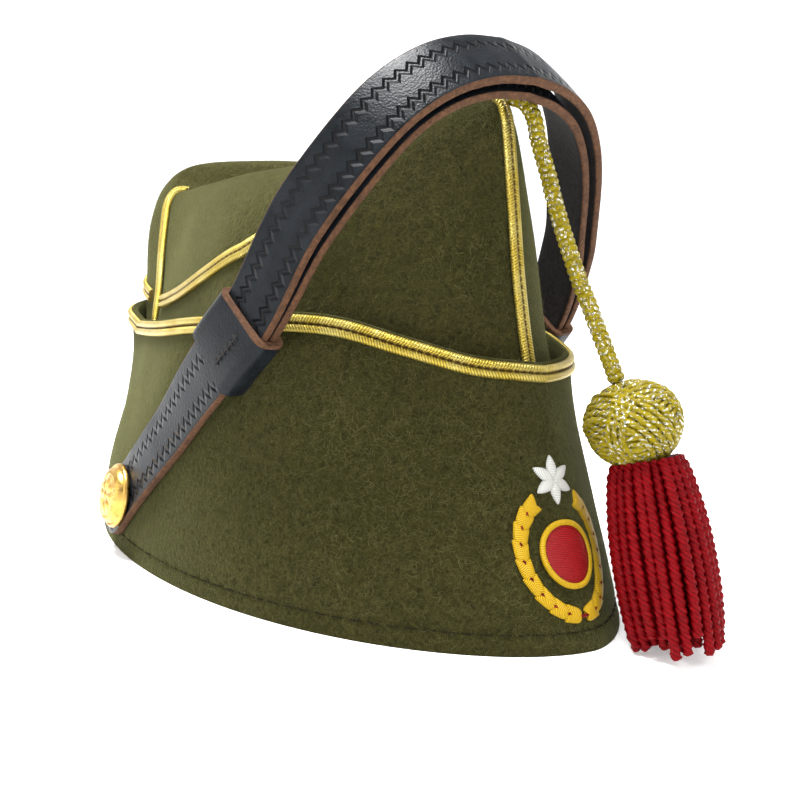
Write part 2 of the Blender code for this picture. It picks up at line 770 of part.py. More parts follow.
def build_field(thread):
    """Round field inside the wreath."""
    radius = BADGE_HEIGHT * FIELD_RADIUS
    outline = [(radius * cos(2 * pi * k / 20), radius * sin(2 * pi * k / 20)) for k in range(20)]
    return build_badge_piece("badge_field", outline, (0.0, BADGE_HEIGHT * WREATH_DROP), thread)


def build_star(thread):
    """Six-rayed star above the wreath's opening."""
    outline = []
    for k in range(STAR_RAYS * 2):
        radius = BADGE_HEIGHT * STAR_RADIUS * (1.0 if k % 2 == 0 else 0.46)
        angle = pi * k / STAR_RAYS
        outline.append((radius * sin(angle), radius * cos(angle)))
    return build_badge_piece("badge_star", outline, (0.0, BADGE_HEIGHT * STAR_RISE), thread)


def main():
    for item in list(bpy.data.objects):
        bpy.data.objects.remove(item)
    felt = new_material("olive felt", (0.105, 0.105, 0.040), 0.95)
    gold = new_material("gold braid", (0.55, 0.42, 0.07), 0.45, 0.4)
    leather = new_material("black leather", (0.012, 0.014, 0.018), 0.40)
    brass = new_material("button brass", (0.75, 0.52, 0.16), 0.25, 1.0)
    thread = new_material("gold and silver thread", (0.62, 0.55, 0.10), 0.35, 0.6)
    red = new_material("red fringe", (0.45, 0.004, 0.012), 0.60)
    white = new_material("white thread", (0.75, 0.74, 0.70), 0.70)
    build_crown(felt)
    build_curtain(felt)
    build_braid("curtain_braid", curtain_braid_route(), gold, closed=True)
    build_braid("front_seam_braid", seam_route(0.0), gold)
    build_braid("rear_seam_braid", seam_route(1.0), gold)
    build_braid("diagonal_braid_right", diagonal_route(RIGHT), gold)
    build_braid("diagonal_braid_left", diagonal_route(LEFT), gold)
    build_strap("strap_right", RIGHT, True, leather)
    build_strap("strap_left", LEFT, False, leather)
    for name, side in (("right", RIGHT), ("left", LEFT)):
        build_keeper("keeper_" + name, side, leather)
        build_button("button_" + name, side, brass)
    build_cord(thread)
    build_knot(thread)
    build_fringe(red)
    build_wreath(gold)
    build_field(red)
    build_star(white)


main()
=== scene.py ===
# %% [markdown]
# A felt side cap, piece by piece. The surfaces come first, as functions, then the camera and the
# materials, and then the pieces, the tassel before the felt.

# %% Load the frame
import random
from math import atan2, cos, exp, pi, radians, sin, sqrt

import bmesh
import bpy
import numpy as np
from mathutils import Matrix, Vector


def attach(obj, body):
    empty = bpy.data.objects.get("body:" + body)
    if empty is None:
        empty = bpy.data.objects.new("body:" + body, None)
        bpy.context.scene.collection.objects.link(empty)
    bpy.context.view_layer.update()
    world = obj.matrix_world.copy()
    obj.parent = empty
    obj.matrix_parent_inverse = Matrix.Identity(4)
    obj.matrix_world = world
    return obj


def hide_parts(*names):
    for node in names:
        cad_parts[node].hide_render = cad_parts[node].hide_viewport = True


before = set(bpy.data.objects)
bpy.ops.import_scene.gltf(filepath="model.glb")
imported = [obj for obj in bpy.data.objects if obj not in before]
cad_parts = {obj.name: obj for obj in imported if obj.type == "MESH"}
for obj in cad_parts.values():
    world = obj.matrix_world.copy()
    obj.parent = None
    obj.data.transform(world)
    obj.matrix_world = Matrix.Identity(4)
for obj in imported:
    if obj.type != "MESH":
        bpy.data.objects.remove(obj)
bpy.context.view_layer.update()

# %% [markdown]
# Sizes. On the real cap the rim fits the head, and everything else is measured from it. The driving sizes
# and the tables of sections are the same as the solids have, so that each surface lies where its solid
# lies. They could be read back from the solids' corners, but a table with a few named columns is easier to
# follow and gives a smooth surface at any fineness. Only the ridges behind the strap stand up to 4 mm
# higher here, where the felt is pressed up softly.

# %% Driving sizes
RIM_LENGTH = 0.217
RIM_WIDTH = 0.137
FRONT_HEIGHT = 0.146
VALLEY_DEPTH = 0.016
CROWN_WALL = 0.0020
CURTAIN_WALL = 0.0022
CURTAIN_HEIGHT = 0.0745
CURTAIN_FLARE = 0.0024
FOLD_GAP = 0.0010
BRAID_WIDTH = 0.0050
STRAP_WIDTH = 0.0192
STRAP_THICKNESS = 0.0025
STRAP_LAYER_GAP = 0.0024
STRAP_REACH = 0.0615
STRAP_HEIGHT = 0.1532
ARCH_SHIFT = 0.0045
KEEPER_LENGTH = 0.0190
KEEPER_WALL = 0.0018
BUTTON_DIAMETER = 0.0205
BUTTON_DOME = 0.0046
CORD_DIAMETER = 0.0046
KNOT_DIAMETER = 0.0270
KNOT_HEIGHT = 0.0245
FRINGE_LENGTH = 0.0500
FRINGE_WIDTH = 0.0265
BADGE_HEIGHT = 0.0430
TOUCH_GAP = 0.0004
SLIDE_GAP = 0.0004

# %% Tables of sections
HALF_LENGTH = RIM_LENGTH / 2 - CURTAIN_WALL - FOLD_GAP
HALF_WIDTH = RIM_WIDTH / 2 - CURTAIN_WALL - FOLD_GAP
RIGHT = -1
LEFT = 1
SIDEWAYS = np.array([1.0, 1.0, 0.0])
REAR_POWER = 1.15
RIDGE_ROW = 8

COLUMNS = ["height", "drop", "width", "front", "rear", "shift", "flat", "right_power", "left_power", "turn"]
SECTIONS = np.array([
    [0.000, 0.00, 1.000, 1.000, 1.000, 0.00, 0.00, 1.25, 1.20, 0.48],
    [0.140, 0.00, 0.972, 0.912, 1.000, 0.01, 0.01, 1.35, 1.20, 0.52],
    [0.300, 0.00, 0.925, 0.818, 0.992, 0.06, 0.08, 1.50, 1.25, 0.60],
    [0.500, 0.00, 0.850, 0.710, 0.985, 0.11, 0.16, 1.65, 1.22, 0.72],
    [0.660, 0.00, 0.780, 0.648, 0.997, 0.13, 0.18, 1.65, 1.24, 0.74],
    [0.800, 0.00, 0.705, 0.608, 0.995, 0.15, 0.17, 1.60, 1.27, 0.70],
    [0.900, 0.00, 0.625, 0.580, 0.965, 0.15, 0.14, 1.55, 1.30, 0.62],
    [0.965, 0.00, 0.540, 0.560, 0.915, 0.15, 0.10, 1.50, 1.35, 0.52],
    [1.000, 0.00, 0.440, 0.535, 0.845, 0.14, 0.06, 1.45, 1.35, 0.40],
    [1.000, 0.12, 0.350, 0.505, 0.745, 0.12, 0.03, 1.40, 1.35, 0.25],
    [1.000, 0.45, 0.250, 0.465, 0.675, 0.11, 0.01, 1.35, 1.30, 0.12],
    [1.000, 0.80, 0.140, 0.430, 0.620, 0.10, 0.00, 1.30, 1.30, 0.04],
    [1.000, 1.00, 0.000, 0.400, 0.580, 0.09, 0.00, 1.30, 1.30, 0.00],
])

print("Crown sections", len(SECTIONS))

# %% Tables of routes
# Columns: along, right ridge, left ridge, valley depth.
RIDGES = np.array([
    [0.00, 1.000, 1.000, 0.15],
    [0.10, 1.008, 1.006, 0.30],
    [0.22, 0.974, 0.976, 0.75],
    [0.36, 0.912, 0.918, 1.00],
    [0.52, 0.872, 0.893, 1.05],
    [0.68, 0.842, 0.888, 1.00],
    [0.82, 0.815, 0.868, 0.80],
    [0.92, 0.800, 0.825, 0.45],
    [1.00, 0.795, 0.795, 0.20],
])

# Columns: along, height of the curtain's edge as a share of CURTAIN_HEIGHT.
CURTAIN_EDGE = np.array([
    [0.00, 1.010], [0.10, 1.018], [0.20, 1.032], [0.30, 1.080], [0.42, 1.137],
    [0.54, 1.125], [0.66, 1.080], [0.78, 1.012], [0.90, 0.964], [1.00, 0.935],
])

# Columns: along, climb from the curtain's edge to the ridge.
DIAGONAL = np.array([
    [0.958, 0.035], [0.88, 0.050], [0.80, 0.078], [0.72, 0.140], [0.65, 0.228],
    [0.58, 0.305], [0.51, 0.420], [0.45, 0.600], [0.405, 0.800], [0.380, 0.960],
    [0.370, 1.060],
])

# Columns: across, back, height, lean, seat.
STRAP_WAY = np.array([
    [1.060, 0.185, 0.069, 44, 1.0],
    [1.060, 0.150, 0.121, 44, 1.0],
    [1.060, 0.055, 0.262, 44, 1.0],
    [1.062, -0.023, 0.380, 44, 0.6],
    [1.052, -0.092, 0.472, 43, 0.1],
    [1.015, -0.145, 0.557, 42, 0.0],
    [0.935, -0.188, 0.682, 41, 0.0],
    [0.845, -0.213, 0.757, 40, 0.0],
    [0.705, -0.244, 0.852, 39, 0.0],
    [0.575, -0.262, 0.917, 38, 0.0],
    [0.410, -0.277, 0.965, 38, 0.0],
    [0.215, -0.285, 0.991, 38, 0.0],
    [0.000, -0.287, 1.000, 38, 0.0],
])
STRAP_STEPS = 36
BUTTON_STATION = 3
KEEPER_STATION = 13
OVERRUN = 2
TIP_REACH = 0.0035
print("Rim", RIM_LENGTH, "by", RIM_WIDTH, "m, front", FRONT_HEIGHT, "m high")

# %% [markdown]
# Surfaces. The cap is two felt walls, one inside the other. A sculpted mesh would give one wall, but
# braid, strap and badge would then have to be fitted by eye. Here each wall is a function of the place on
# it, so that every later piece asks the same function for its place and for the direction that points out
# of the cloth.

# %% Smooth readings
def smooth(keys, values, at):
    """Cubic reading of a table: it passes through every value without a corner."""
    keys = np.asarray(keys, float)
    values = np.asarray(values, float)
    last = len(keys) - 1
    at = np.clip(np.asarray(at, float), keys[0], keys[-1])
    cell = np.clip(np.searchsorted(keys, at) - 1, 0, last - 1)
    low = np.maximum(np.arange(last + 1) - 1, 0)
    high = np.minimum(np.arange(last + 1) + 1, last)
    slope = (values[high] - values[low]) / (keys[high] - keys[low])
    span = keys[cell + 1] - keys[cell]
    t = (at - keys[cell]) / span
    start = values[cell] * (1 + 2 * t) * (1 - t) ** 2 + slope[cell] * span * t * (1 - t) ** 2
    end = values[cell + 1] * (3 - 2 * t) * t ** 2 - slope[cell + 1] * span * t ** 2 * (1 - t)
    return start + end


def section(column, row):
    return smooth(range(len(SECTIONS)), SECTIONS[:, COLUMNS.index(column)], row)


def unit(vectors):
    return vectors / np.maximum(np.linalg.norm(vectors, axis=-1, keepdims=True), 1e-12)


def dot(a, b):
    return (a * b).sum(axis=-1, keepdims=True)


def arrays(*values):
    """Arrays of floats of one shape."""
    return (np.asarray(v, float) for v in np.broadcast_arrays(*values))


def halve(low, high, steps, below):
    """Close in on the place where below turns from true to false."""
    for _ in range(steps):
        middle = (low + high) / 2
        under = below(middle)
        low = np.where(under, middle, low)
        high = np.where(under, high, middle)
    return low


print("Width at row 4, as a share", float(section("width", 4)))

# %% Crown surface
def crown_point(side, along, row):
    """Point on the crown: side, along from the front (0) to the rear (1), and row in the section table."""
    side, along, row = arrays(side, along, row)
    right = side < 0
    turn = along * (pi + side * section("turn", row))
    ahead = np.cos(turn) >= 0
    power = np.where(right, section("right_power", row), section("left_power", row))
    power = np.where(ahead, power, REAR_POWER)
    reach = np.where(ahead, section("front", row), section("rear", row)) * HALF_LENGTH
    behind = np.maximum(0.0, -np.cos(turn))
    half = section("width", row) * HALF_WIDTH
    swing = np.abs(np.sin(turn)) ** power * np.where(np.sin(turn) >= 0, 1, -1)
    x = side * half * swing - section("shift", row) * HALF_WIDTH * behind ** 2
    flat = section("flat", row) * HALF_WIDTH * np.sin(2 * turn) ** 2
    x = x + np.where((right & ~ahead) | (~right & (np.sin(turn) < 0)), flat, 0)
    y = -reach * np.cos(turn)
    right_ridge = FRONT_HEIGHT * smooth(RIDGES[:, 0], RIDGES[:, 1], along)
    left_ridge = FRONT_HEIGHT * smooth(RIDGES[:, 0], RIDGES[:, 2], along)
    ridge = np.where(right, right_ridge, left_ridge)
    other = np.where(right, left_ridge, right_ridge)
    drop = section("drop", row)
    z = ridge * section("height", row) - VALLEY_DEPTH * smooth(RIDGES[:, 0], RIDGES[:, 3], along) * drop
    z = z + np.where(row > RIDGE_ROW, (other - ridge) / 2 * drop, 0)
    return np.stack([x, y, z], axis=-1)


def crown_outward(side, along, row):
    """Direction out of the felt, from two short steps along the surface."""
    side, along, row = arrays(side, along, row)
    step = 0.01
    ahead = crown_point(side, np.minimum(along + step, 1), row)
    run = ahead - crown_point(side, np.maximum(along - step, 0), row)
    front = (crown_point(LEFT, step, row) - crown_point(RIGHT, step, row)) * side[..., None]
    rear = (crown_point(RIGHT, 1 - step, row) - crown_point(LEFT, 1 - step, row)) * side[..., None]
    run = np.where((along < step)[..., None], front, run)
    run = np.where((along > 1 - step)[..., None], rear, run)
    climb = crown_point(side, along, row + 0.05) - crown_point(side, along, np.maximum(row - 0.05, 0))
    return unit(np.cross(run, climb) * side[..., None])


print("Front peak", crown_point(RIGHT, 0.0, RIDGE_ROW).round(4))


# %% Curtain surface
def row_at_height(side, along, height):
    """Row at which the crown has a given height, found by halving."""
    side, along, height = arrays(side, along, height)

    def below(row):
        return crown_point(side, along, row)[..., 2] < height
    return halve(np.zeros_like(height), np.full_like(height, RIDGE_ROW), 26, below)


def curtain_height(along):
    return CURTAIN_HEIGHT * smooth(CURTAIN_EDGE[:, 0], CURTAIN_EDGE[:, 1], along)


def curtain_point(side, along, share, depth):
    """Point on the curtain: share of its height, and depth from its inner (0) to its outer (1) face."""
    side, along, share, depth = arrays(side, along, share, depth)
    height = share * curtain_height(along)
    row = row_at_height(side, along, height)
    outward = crown_outward(side, along, row)
    level = unit(outward * SIDEWAYS)
    stand = FOLD_GAP + CURTAIN_FLARE * share ** 2 + CURTAIN_WALL * depth
    point = crown_point(side, along, row) + level * stand[..., None]
    point[..., 2] = height
    return point


def curtain_at_height(side, along, height):
    """Place on the curtain's outer face at a height, with its outward direction."""
    row = row_at_height(side, along, height)
    return curtain_point(side, along, height / curtain_height(along), 1.0), crown_outward(side, along, row)


def round_the_cap(count):
    """Sides and alongs of stations once round the cap, right side first."""
    right = np.arange(count + 1) / count
    left = np.arange(count - 1, 0, -1) / count
    sides = np.concatenate([np.full(len(right), RIGHT), np.full(len(left), LEFT)])
    return sides, np.concatenate([right, left])


print("Curtain at the front", float(curtain_height(0.0)), "m high")

# %% [markdown]
# Mesh helpers. The bmesh operators turn, extrude and bevel a shape, but none of them sweeps a section that
# changes along a bent path. One helper skins a grid of points into quads and writes its UV in metres, one
# carries a section along a path without twist, and one makes the object, joins it to the body and says
# which solid it replaces.

# %% Pieces and skins
def new_piece(name, body, materials, node=None, sharp=60):
    """Turn a bmesh into an object on the body, in place of a node of the solids if one is named."""
    bmesh.ops.recalc_face_normals(body, faces=body.faces)
    mesh = bpy.data.meshes.new(name)
    body.to_mesh(mesh)
    body.free()
    mesh.shade_smooth()
    mesh.set_sharp_from_angle(angle=radians(sharp))
    for material in materials:
        mesh.materials.append(material)
    piece = bpy.data.objects.new(name, mesh)
    bpy.context.scene.collection.objects.link(piece)
    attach(piece, "root")
    if node:
        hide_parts(node)
    return piece


def skin(body, points, u=None, v=None, wrap_rows=False, wrap_columns=False, slots=None, caps=False):
    """Skin rows x columns points into quads. u follows the columns and v the rows, both in metres."""
    rows, columns = points.shape[:2]
    verts = [[body.verts.new(point) for point in row] for row in points.tolist()]
    layer = body.loops.layers.uv.verify()
    for i in range(rows if wrap_rows else rows - 1):
        for j in range(columns if wrap_columns else columns - 1):
            i1 = (i + 1) % rows
            j1 = (j + 1) % columns
            face = body.faces.new((verts[i][j], verts[i][j1], verts[i1][j1], verts[i1][j]))
            if slots is not None:
                face.material_index = slots[j]
            if u is not None:
                corners = ((u[j], v[i]), (u[j + 1], v[i]), (u[j + 1], v[i + 1]), (u[j], v[i + 1]))
                for loop, corner in zip(face.loops, corners):
                    loop[layer].uv = corner
    if caps:
        body.faces.new(verts[0][::-1])
        body.faces.new(verts[-1])
    return verts


# %% Paths and tubes
def lengths(path, closed=False):
    """Distance run at each point of a path."""
    ends = np.vstack([path, path[:1]]) if closed else path
    return np.concatenate([[0], np.cumsum(np.linalg.norm(np.diff(ends, axis=0), axis=1))])


def resample(path, count):
    """Even points on the smooth curve through a path's points."""
    run = lengths(path)
    at = np.linspace(0, run[-1], count)
    return np.stack([smooth(run, path[:, k], at) for k in range(3)], axis=1)


def carried_frames(path, start=(0.0, 0.0, 1.0)):
    """Two directions across the path at each point, carried along it without twist."""
    tangent = unit(np.gradient(path, axis=0))
    across = np.zeros_like(path)
    side = np.asarray(start, float)
    for i, direction in enumerate(tangent):
        side = side - direction * np.dot(side, direction)
        side = side / np.linalg.norm(side)
        across[i] = side
    return across, np.cross(tangent, across)


def tube(body, path, radius, sides=8, twist=0.0, lobes=0, depth=0.0, start=(0.0, 0.0, 1.0)):
    """Tube along a path. lobes and depth shape its section into plies that turn by twist radians a metre."""
    across, up = carried_frames(path, start)
    run = lengths(path)
    angle = np.arange(sides) * 2 * pi / sides
    radius = np.broadcast_to(radius, len(path))
    turned = angle[None, :] + 0 * run[:, None]
    valley = 0.5 - 0.5 * np.cos(lobes * (turned - twist * run[:, None]))
    size = radius[:, None] * (1 - depth * valley)
    points = (path[:, None, :] + across[:, None, :] * (size * np.cos(turned))[..., None]
              + up[:, None, :] * (size * np.sin(turned))[..., None])
    around = np.arange(sides + 1) / sides
    skin(body, points, u=around, v=run, wrap_columns=True, caps=True)


def spin_profile(body, profile, steps):
    """Turn a profile of radius and height once round Z."""
    verts = [body.verts.new((reach, 0, height)) for reach, height in profile]
    edges = [body.edges.new(pair) for pair in zip(verts, verts[1:])]
    bmesh.ops.spin(body, geom=verts + edges, cent=(0, 0, 0), axis=(0, 0, 1), angle=2 * pi, steps=steps,
                   use_merge=True)
    bmesh.ops.remove_doubles(body, verts=body.verts, dist=0.000001)


def swap_uv(body):
    """Let U run along a sweep and V across it."""
    layer = body.loops.layers.uv.verify()
    for face in body.faces:
        for loop in face.loops:
            loop[layer].uv = loop[layer].uv.yx


print("Mesh helpers ready")

# %% [markdown]
# Camera. The picture is taken from the wearer's right of the front, a little above the rim and slightly
# rolled. The camera comes before the pieces, so that each of them can be compared with the picture as soon
# as it is there. Its place and aim were fitted to landmarks of the cap, such as the button, the keeper and
# the ends of the braid.

# %% Camera
CAP_MIDDLE = Vector((0, 0.0046, 0.065))
CAMERA_AZIMUTH = -41.86
CAMERA_RISE = 7.684
CAMERA_ROLL = 3.97
CAMERA_DISTANCE = 0.3656
CAMERA_LENS = 48.825
AIM_RIGHT = 0.02045
AIM_DOWN = 0.0133


def place_camera():
    azimuth = radians(CAMERA_AZIMUTH)
    rise = radians(CAMERA_RISE)
    back = Vector((sin(azimuth) * cos(rise), -cos(azimuth) * cos(rise), sin(rise)))
    right = Vector((cos(azimuth), sin(azimuth), 0))
    up = back.cross(right)
    place = CAP_MIDDLE + back * CAMERA_DISTANCE
    aim = CAP_MIDDLE + right * AIM_RIGHT - up * AIM_DOWN
    view = (place - aim).normalized()
    level = Vector((0, 0, 1)).cross(view).normalized()
    over = view.cross(level)
    roll = radians(CAMERA_ROLL)
    x_axis = level * cos(roll) + over * sin(roll)
    y_axis = over * cos(roll) - level * sin(roll)
    data = bpy.data.cameras.new("camera")
    data.sensor_width = 36
    data.lens = CAMERA_LENS
    data.clip_start = 0.01
    data.dof.use_dof = False
    camera = bpy.data.objects.new("camera", data)
    bpy.context.scene.collection.objects.link(camera)
    turn = Matrix((x_axis, y_axis, view)).transposed().to_4x4()
    camera.matrix_world = Matrix.Translation(place) @ turn
    bpy.context.scene.camera = camera
    return camera


camera = place_camera()
print("Camera at", tuple(round(v, 3) for v in camera.location))

# %% [markdown]
# Material helpers. Every finish starts from the principled shader and needs the same few steps: noise, a
# range of values, a mix of two colours and a bump. Short helpers keep each material down to the lines that
# make it different. The stamped zigzag is a node group with named inputs, because each line on the strap
# uses it with its own values.

# %% Node helpers
def add_node(tree, kind, inputs=None, **settings):
    """Add a node, set its settings, and link or set its inputs."""
    node = tree.nodes.new(kind)
    for name, value in settings.items():
        setattr(node, name, value)
    for name, value in (inputs or {}).items():
        socket = node.inputs[name]
        if isinstance(value, bpy.types.NodeSocket):
            tree.links.new(value, socket)
        else:
            socket.default_value = value
    return node


def maths(tree, operation, a, b=0.0, clamp=False):
    return add_node(tree, "ShaderNodeMath", {0: a, 1: b}, operation=operation, use_clamp=clamp).outputs[0]


def ribbing(tree, run, count=1):
    """Rounded ribs, a number of them for each unit of run."""
    return maths(tree, "ABSOLUTE", maths(tree, "SINE", maths(tree, "MULTIPLY", run, count * pi)))


def mix_colours(tree, factor, a, b, blend="MIX"):
    node = add_node(tree, "ShaderNodeMix", data_type="RGBA", blend_type=blend)
    for index, value in ((0, factor), (6, a), (7, b)):
        if isinstance(value, bpy.types.NodeSocket):
            tree.links.new(value, node.inputs[index])
        else:
            node.inputs[index].default_value = value if index == 0 else (*value, 1)
    return node.outputs[2]


def ramp(tree, value, low, high, start=0.0, end=1.0):
    inputs = {"Value": value, "From Min": low, "From Max": high, "To Min": start, "To Max": end}
    return add_node(tree, "ShaderNodeMapRange", inputs).outputs["Result"]


def noise(tree, vector, scale, detail=2.0, roughness=0.5, distortion=0.0):
    inputs = {"Vector": vector, "Scale": scale, "Detail": detail, "Roughness": roughness,
              "Distortion": distortion}
    return add_node(tree, "ShaderNodeTexNoise", inputs).outputs["Fac"]


def bump(tree, height, distance, strength=1.0, normal=None):
    inputs = {"Height": height, "Distance": distance, "Strength": strength}
    if normal is not None:
        inputs["Normal"] = normal
    return add_node(tree, "ShaderNodeBump", inputs).outputs["Normal"]


print("Node helpers ready")


# %% Start of a material
def new_material(name, colour, roughness, metallic=0.0, **values):
    material = bpy.data.materials.new(name)
    material.use_nodes = True
    tree = material.node_tree
    shader = tree.nodes["Principled BSDF"]
    shader.inputs["Base Color"].default_value = (*colour, 1)
    shader.inputs["Roughness"].default_value = roughness
    shader.inputs["Metallic"].default_value = metallic
    for key, value in values.items():
        shader.inputs[key.replace("_", " ")].default_value = value
    return material, tree, shader


def feed(shader, name, value):
    shader.id_data.links.new(value, shader.inputs[name])


def object_place(tree):
    return add_node(tree, "ShaderNodeTexCoord").outputs["Object"]


def along_across(tree):
    """The piece's own UV: X and Y in metres or turns."""
    uv = add_node(tree, "ShaderNodeUVMap").outputs["UV"]
    split = add_node(tree, "ShaderNodeSeparateXYZ", {"Vector": uv})
    return split.outputs["X"], split.outputs["Y"]


print("Material start ready")

# %% Zigzag group
def make_zigzag_group():
    """Depth of a stamped zigzag: 1 in the line, 0 beside it. All inputs are in metres."""
    group = bpy.data.node_groups.new("stamped zigzag", "ShaderNodeTree")
    for name in ("Along", "Across", "Line", "Pitch", "Swing", "Width"):
        group.interface.new_socket(name, in_out="INPUT", socket_type="NodeSocketFloat")
    group.interface.new_socket("Depth", in_out="OUTPUT", socket_type="NodeSocketFloat")
    inside = group.nodes.new("NodeGroupInput").outputs
    phase = maths(group, "FRACT", maths(group, "DIVIDE", inside["Along"], inside["Pitch"]))
    wave = maths(group, "ABSOLUTE", maths(group, "SUBTRACT", phase, 0.5))
    wave = maths(group, "MULTIPLY", maths(group, "SUBTRACT", wave, 0.25), inside["Swing"])
    wave = maths(group, "MULTIPLY", wave, 4.0)
    away = maths(group, "SUBTRACT", maths(group, "SUBTRACT", inside["Across"], inside["Line"]), wave)
    away = maths(group, "ABSOLUTE", away)
    depth = maths(group, "SUBTRACT", 1.0, maths(group, "DIVIDE", away, inside["Width"]), clamp=True)
    depth = maths(group, "SMOOTH_MIN", maths(group, "MULTIPLY", depth, 1.6), 1.0)
    out = group.nodes.new("NodeGroupOutput")
    group.links.new(depth, out.inputs["Depth"])
    return group


ZIGZAG = make_zigzag_group()
print("Group", ZIGZAG.name, "with", len(ZIGZAG.nodes), "nodes")

# %% [markdown]
# Felt. It is a mat of short wool fibres, so it has no weave and hardly any gloss. A plain olive colour
# would look like plastic. Two scales of noise give the mat and its lighter hairs, a third gives slow
# clouds, and a weak sheen lifts the parts that turn away.

# %% Felt
def make_felt():
    material, tree, shader = new_material("olive felt", (0.028, 0.025, 0.008), 0.95, Sheen_Weight=0.28,
                                          Sheen_Roughness=0.32, Specular_IOR_Level=0.06)
    place = object_place(tree)
    cloud = noise(tree, place, 38, 3)
    mat = noise(tree, place, 620, 6, 0.72, 1.4)
    hairs = noise(tree, place, 260, 4, 0.75, 3.5)
    colour = mix_colours(tree, ramp(tree, mat, 0.30, 0.72), (0.006, 0.0054, 0.0012), (0.047, 0.0430, 0.0118))
    colour = mix_colours(tree, ramp(tree, cloud, 0.40, 0.62, 0.0, 0.35), colour, (0.017, 0.017, 0.0035))
    colour = mix_colours(tree, ramp(tree, hairs, 0.60, 0.80, 0.0, 0.45), colour, (0.15, 0.14, 0.052))
    feed(shader, "Base Color", colour)
    shader.inputs["Sheen Tint"].default_value = (0.60, 0.62, 0.26, 1)
    normal = bump(tree, mat, 0.0006, 0.9)
    normal = bump(tree, hairs, 0.0008, 0.5, normal)
    feed(shader, "Normal", normal)
    return material


felt = make_felt()
print("Material", felt.name)

# %% Fibre
def make_fibre():
    material, tree, shader = new_material("felt fibre", (0.10, 0.095, 0.035), 0.9, Specular_IOR_Level=0.1)
    tone = noise(tree, object_place(tree), 60, 2)
    colour = mix_colours(tree, tone, (0.022, 0.021, 0.006), (0.135, 0.128, 0.050))
    feed(shader, "Base Color", colour)
    return material


fibre = make_fibre()
print("Material", fibre.name)

# %% [markdown]
# Gold braid. It is metal thread wound over two cores, with brown stitches in the channel between them.
# Each turn modelled would take millions of faces, so the ribs are bump, and the colour is darker in the
# rib valleys as painted shade. The UV runs in metres along the braid and from -1 to 1 across it, which
# lets the ribs slant away from the channel on both sides and puts the stitches in its middle.

# %% Braid
def make_braid():
    material, tree, shader = new_material("gold braid", (0.36, 0.27, 0.04), 0.36, 0.75)
    along, across = along_across(tree)
    out = maths(tree, "ABSOLUTE", across)
    slant = maths(tree, "ADD", maths(tree, "DIVIDE", along, 0.00085), maths(tree, "MULTIPLY", out, 1.5))
    ribs = ribbing(tree, slant)
    fine = noise(tree, object_place(tree), 1500, 2)
    # Painted shade: the colour is darker in the rib valleys between the wound turns, and the fine noise adds
    # random tone.
    painted_rib_shade_and_tone = maths(tree, "ADD", maths(tree, "MULTIPLY", ribs, 0.65), maths(tree, "MULTIPLY", fine, 0.5))
    colour = mix_colours(tree, painted_rib_shade_and_tone, (0.10, 0.058, 0.004), (0.44, 0.33, 0.040))
    wear = ramp(tree, noise(tree, object_place(tree), 120, 3), 0.42, 0.66)
    colour = mix_colours(tree, maths(tree, "MULTIPLY", wear, 0.45), colour, (0.46, 0.40, 0.14))
    channel = ramp(tree, out, 0.10, 0.24, 1.0, 0.0)
    stitch = maths(tree, "FRACT", maths(tree, "DIVIDE", along, 0.0021))
    stitch = ramp(tree, maths(tree, "ABSOLUTE", maths(tree, "SUBTRACT", stitch, 0.5)), 0.30, 0.36, 1.0, 0.35)
    dark = maths(tree, "MULTIPLY", channel, stitch)
    colour = mix_colours(tree, maths(tree, "MULTIPLY", dark, 0.9), colour, (0.07, 0.032, 0.008))
    feed(shader, "Base Color", colour)
    feed(shader, "Metallic", ramp(tree, channel, 0, 1, 0.75, 0.0))
    height = maths(tree, "ADD", maths(tree, "SUBTRACT", ribs, maths(tree, "MULTIPLY", dark, 0.8)), fine)
    feed(shader, "Normal", bump(tree, height, 0.00025, 0.9))
    return material


braid = make_braid()
print("Material", braid.name)

# %% [markdown]
# Leather. The strap has a black finished face with fine grain and two stamped zigzag lines, a rough back,
# and raw brown edges. Three materials share one mesh, and each face takes the one that its place in the
# section asks for. The zigzag is drawn from the UV, so that it follows the strap round its bends.

# %% Leather
def make_leather(name, zigzags):
    material, tree, shader = new_material(name, (0.006, 0.007, 0.009), 0.34, Specular_IOR_Level=0.10)
    place = object_place(tree)
    pores = add_node(tree, "ShaderNodeTexVoronoi", {"Vector": place, "Scale": 1500}).outputs["Distance"]
    grain = noise(tree, place, 900, 4, 0.6)
    creases = noise(tree, place, 90, 4, 0.6, 1.0)
    colour = mix_colours(tree, ramp(tree, creases, 0.35, 0.70), (0.003, 0.004, 0.005), (0.008, 0.010, 0.013))
    rough = ramp(tree, creases, 0.3, 0.7, 0.26, 0.42)
    normal = bump(tree, maths(tree, "ADD", pores, grain), 0.00012, 0.5)
    if zigzags:
        along, across = along_across(tree)
        stamped = 0.0
        for line in (-0.30, 0.20):
            inputs = {"Along": along, "Across": across, "Line": line * STRAP_WIDTH, "Pitch": 0.0037,
                      "Swing": 0.00110, "Width": 0.00150}
            one = add_node(tree, "ShaderNodeGroup", inputs, node_tree=ZIGZAG)
            stamped = maths(tree, "MAXIMUM", one.outputs["Depth"], stamped)
        normal = bump(tree, maths(tree, "SUBTRACT", 1.0, stamped), 0.0012, 1.0, normal)
        # Painted shade: the colour is darker inside the stamped grooves.
        colour = mix_colours(tree, maths(tree, "MULTIPLY", stamped, 0.8), colour, (0.003, 0.003, 0.004))
    feed(shader, "Base Color", colour)
    feed(shader, "Roughness", rough)
    feed(shader, "Normal", normal)
    return material


strap_leather = make_leather("stamped leather", True)
plain_leather = make_leather("plain leather", False)
print("Materials", strap_leather.name, "and", plain_leather.name)

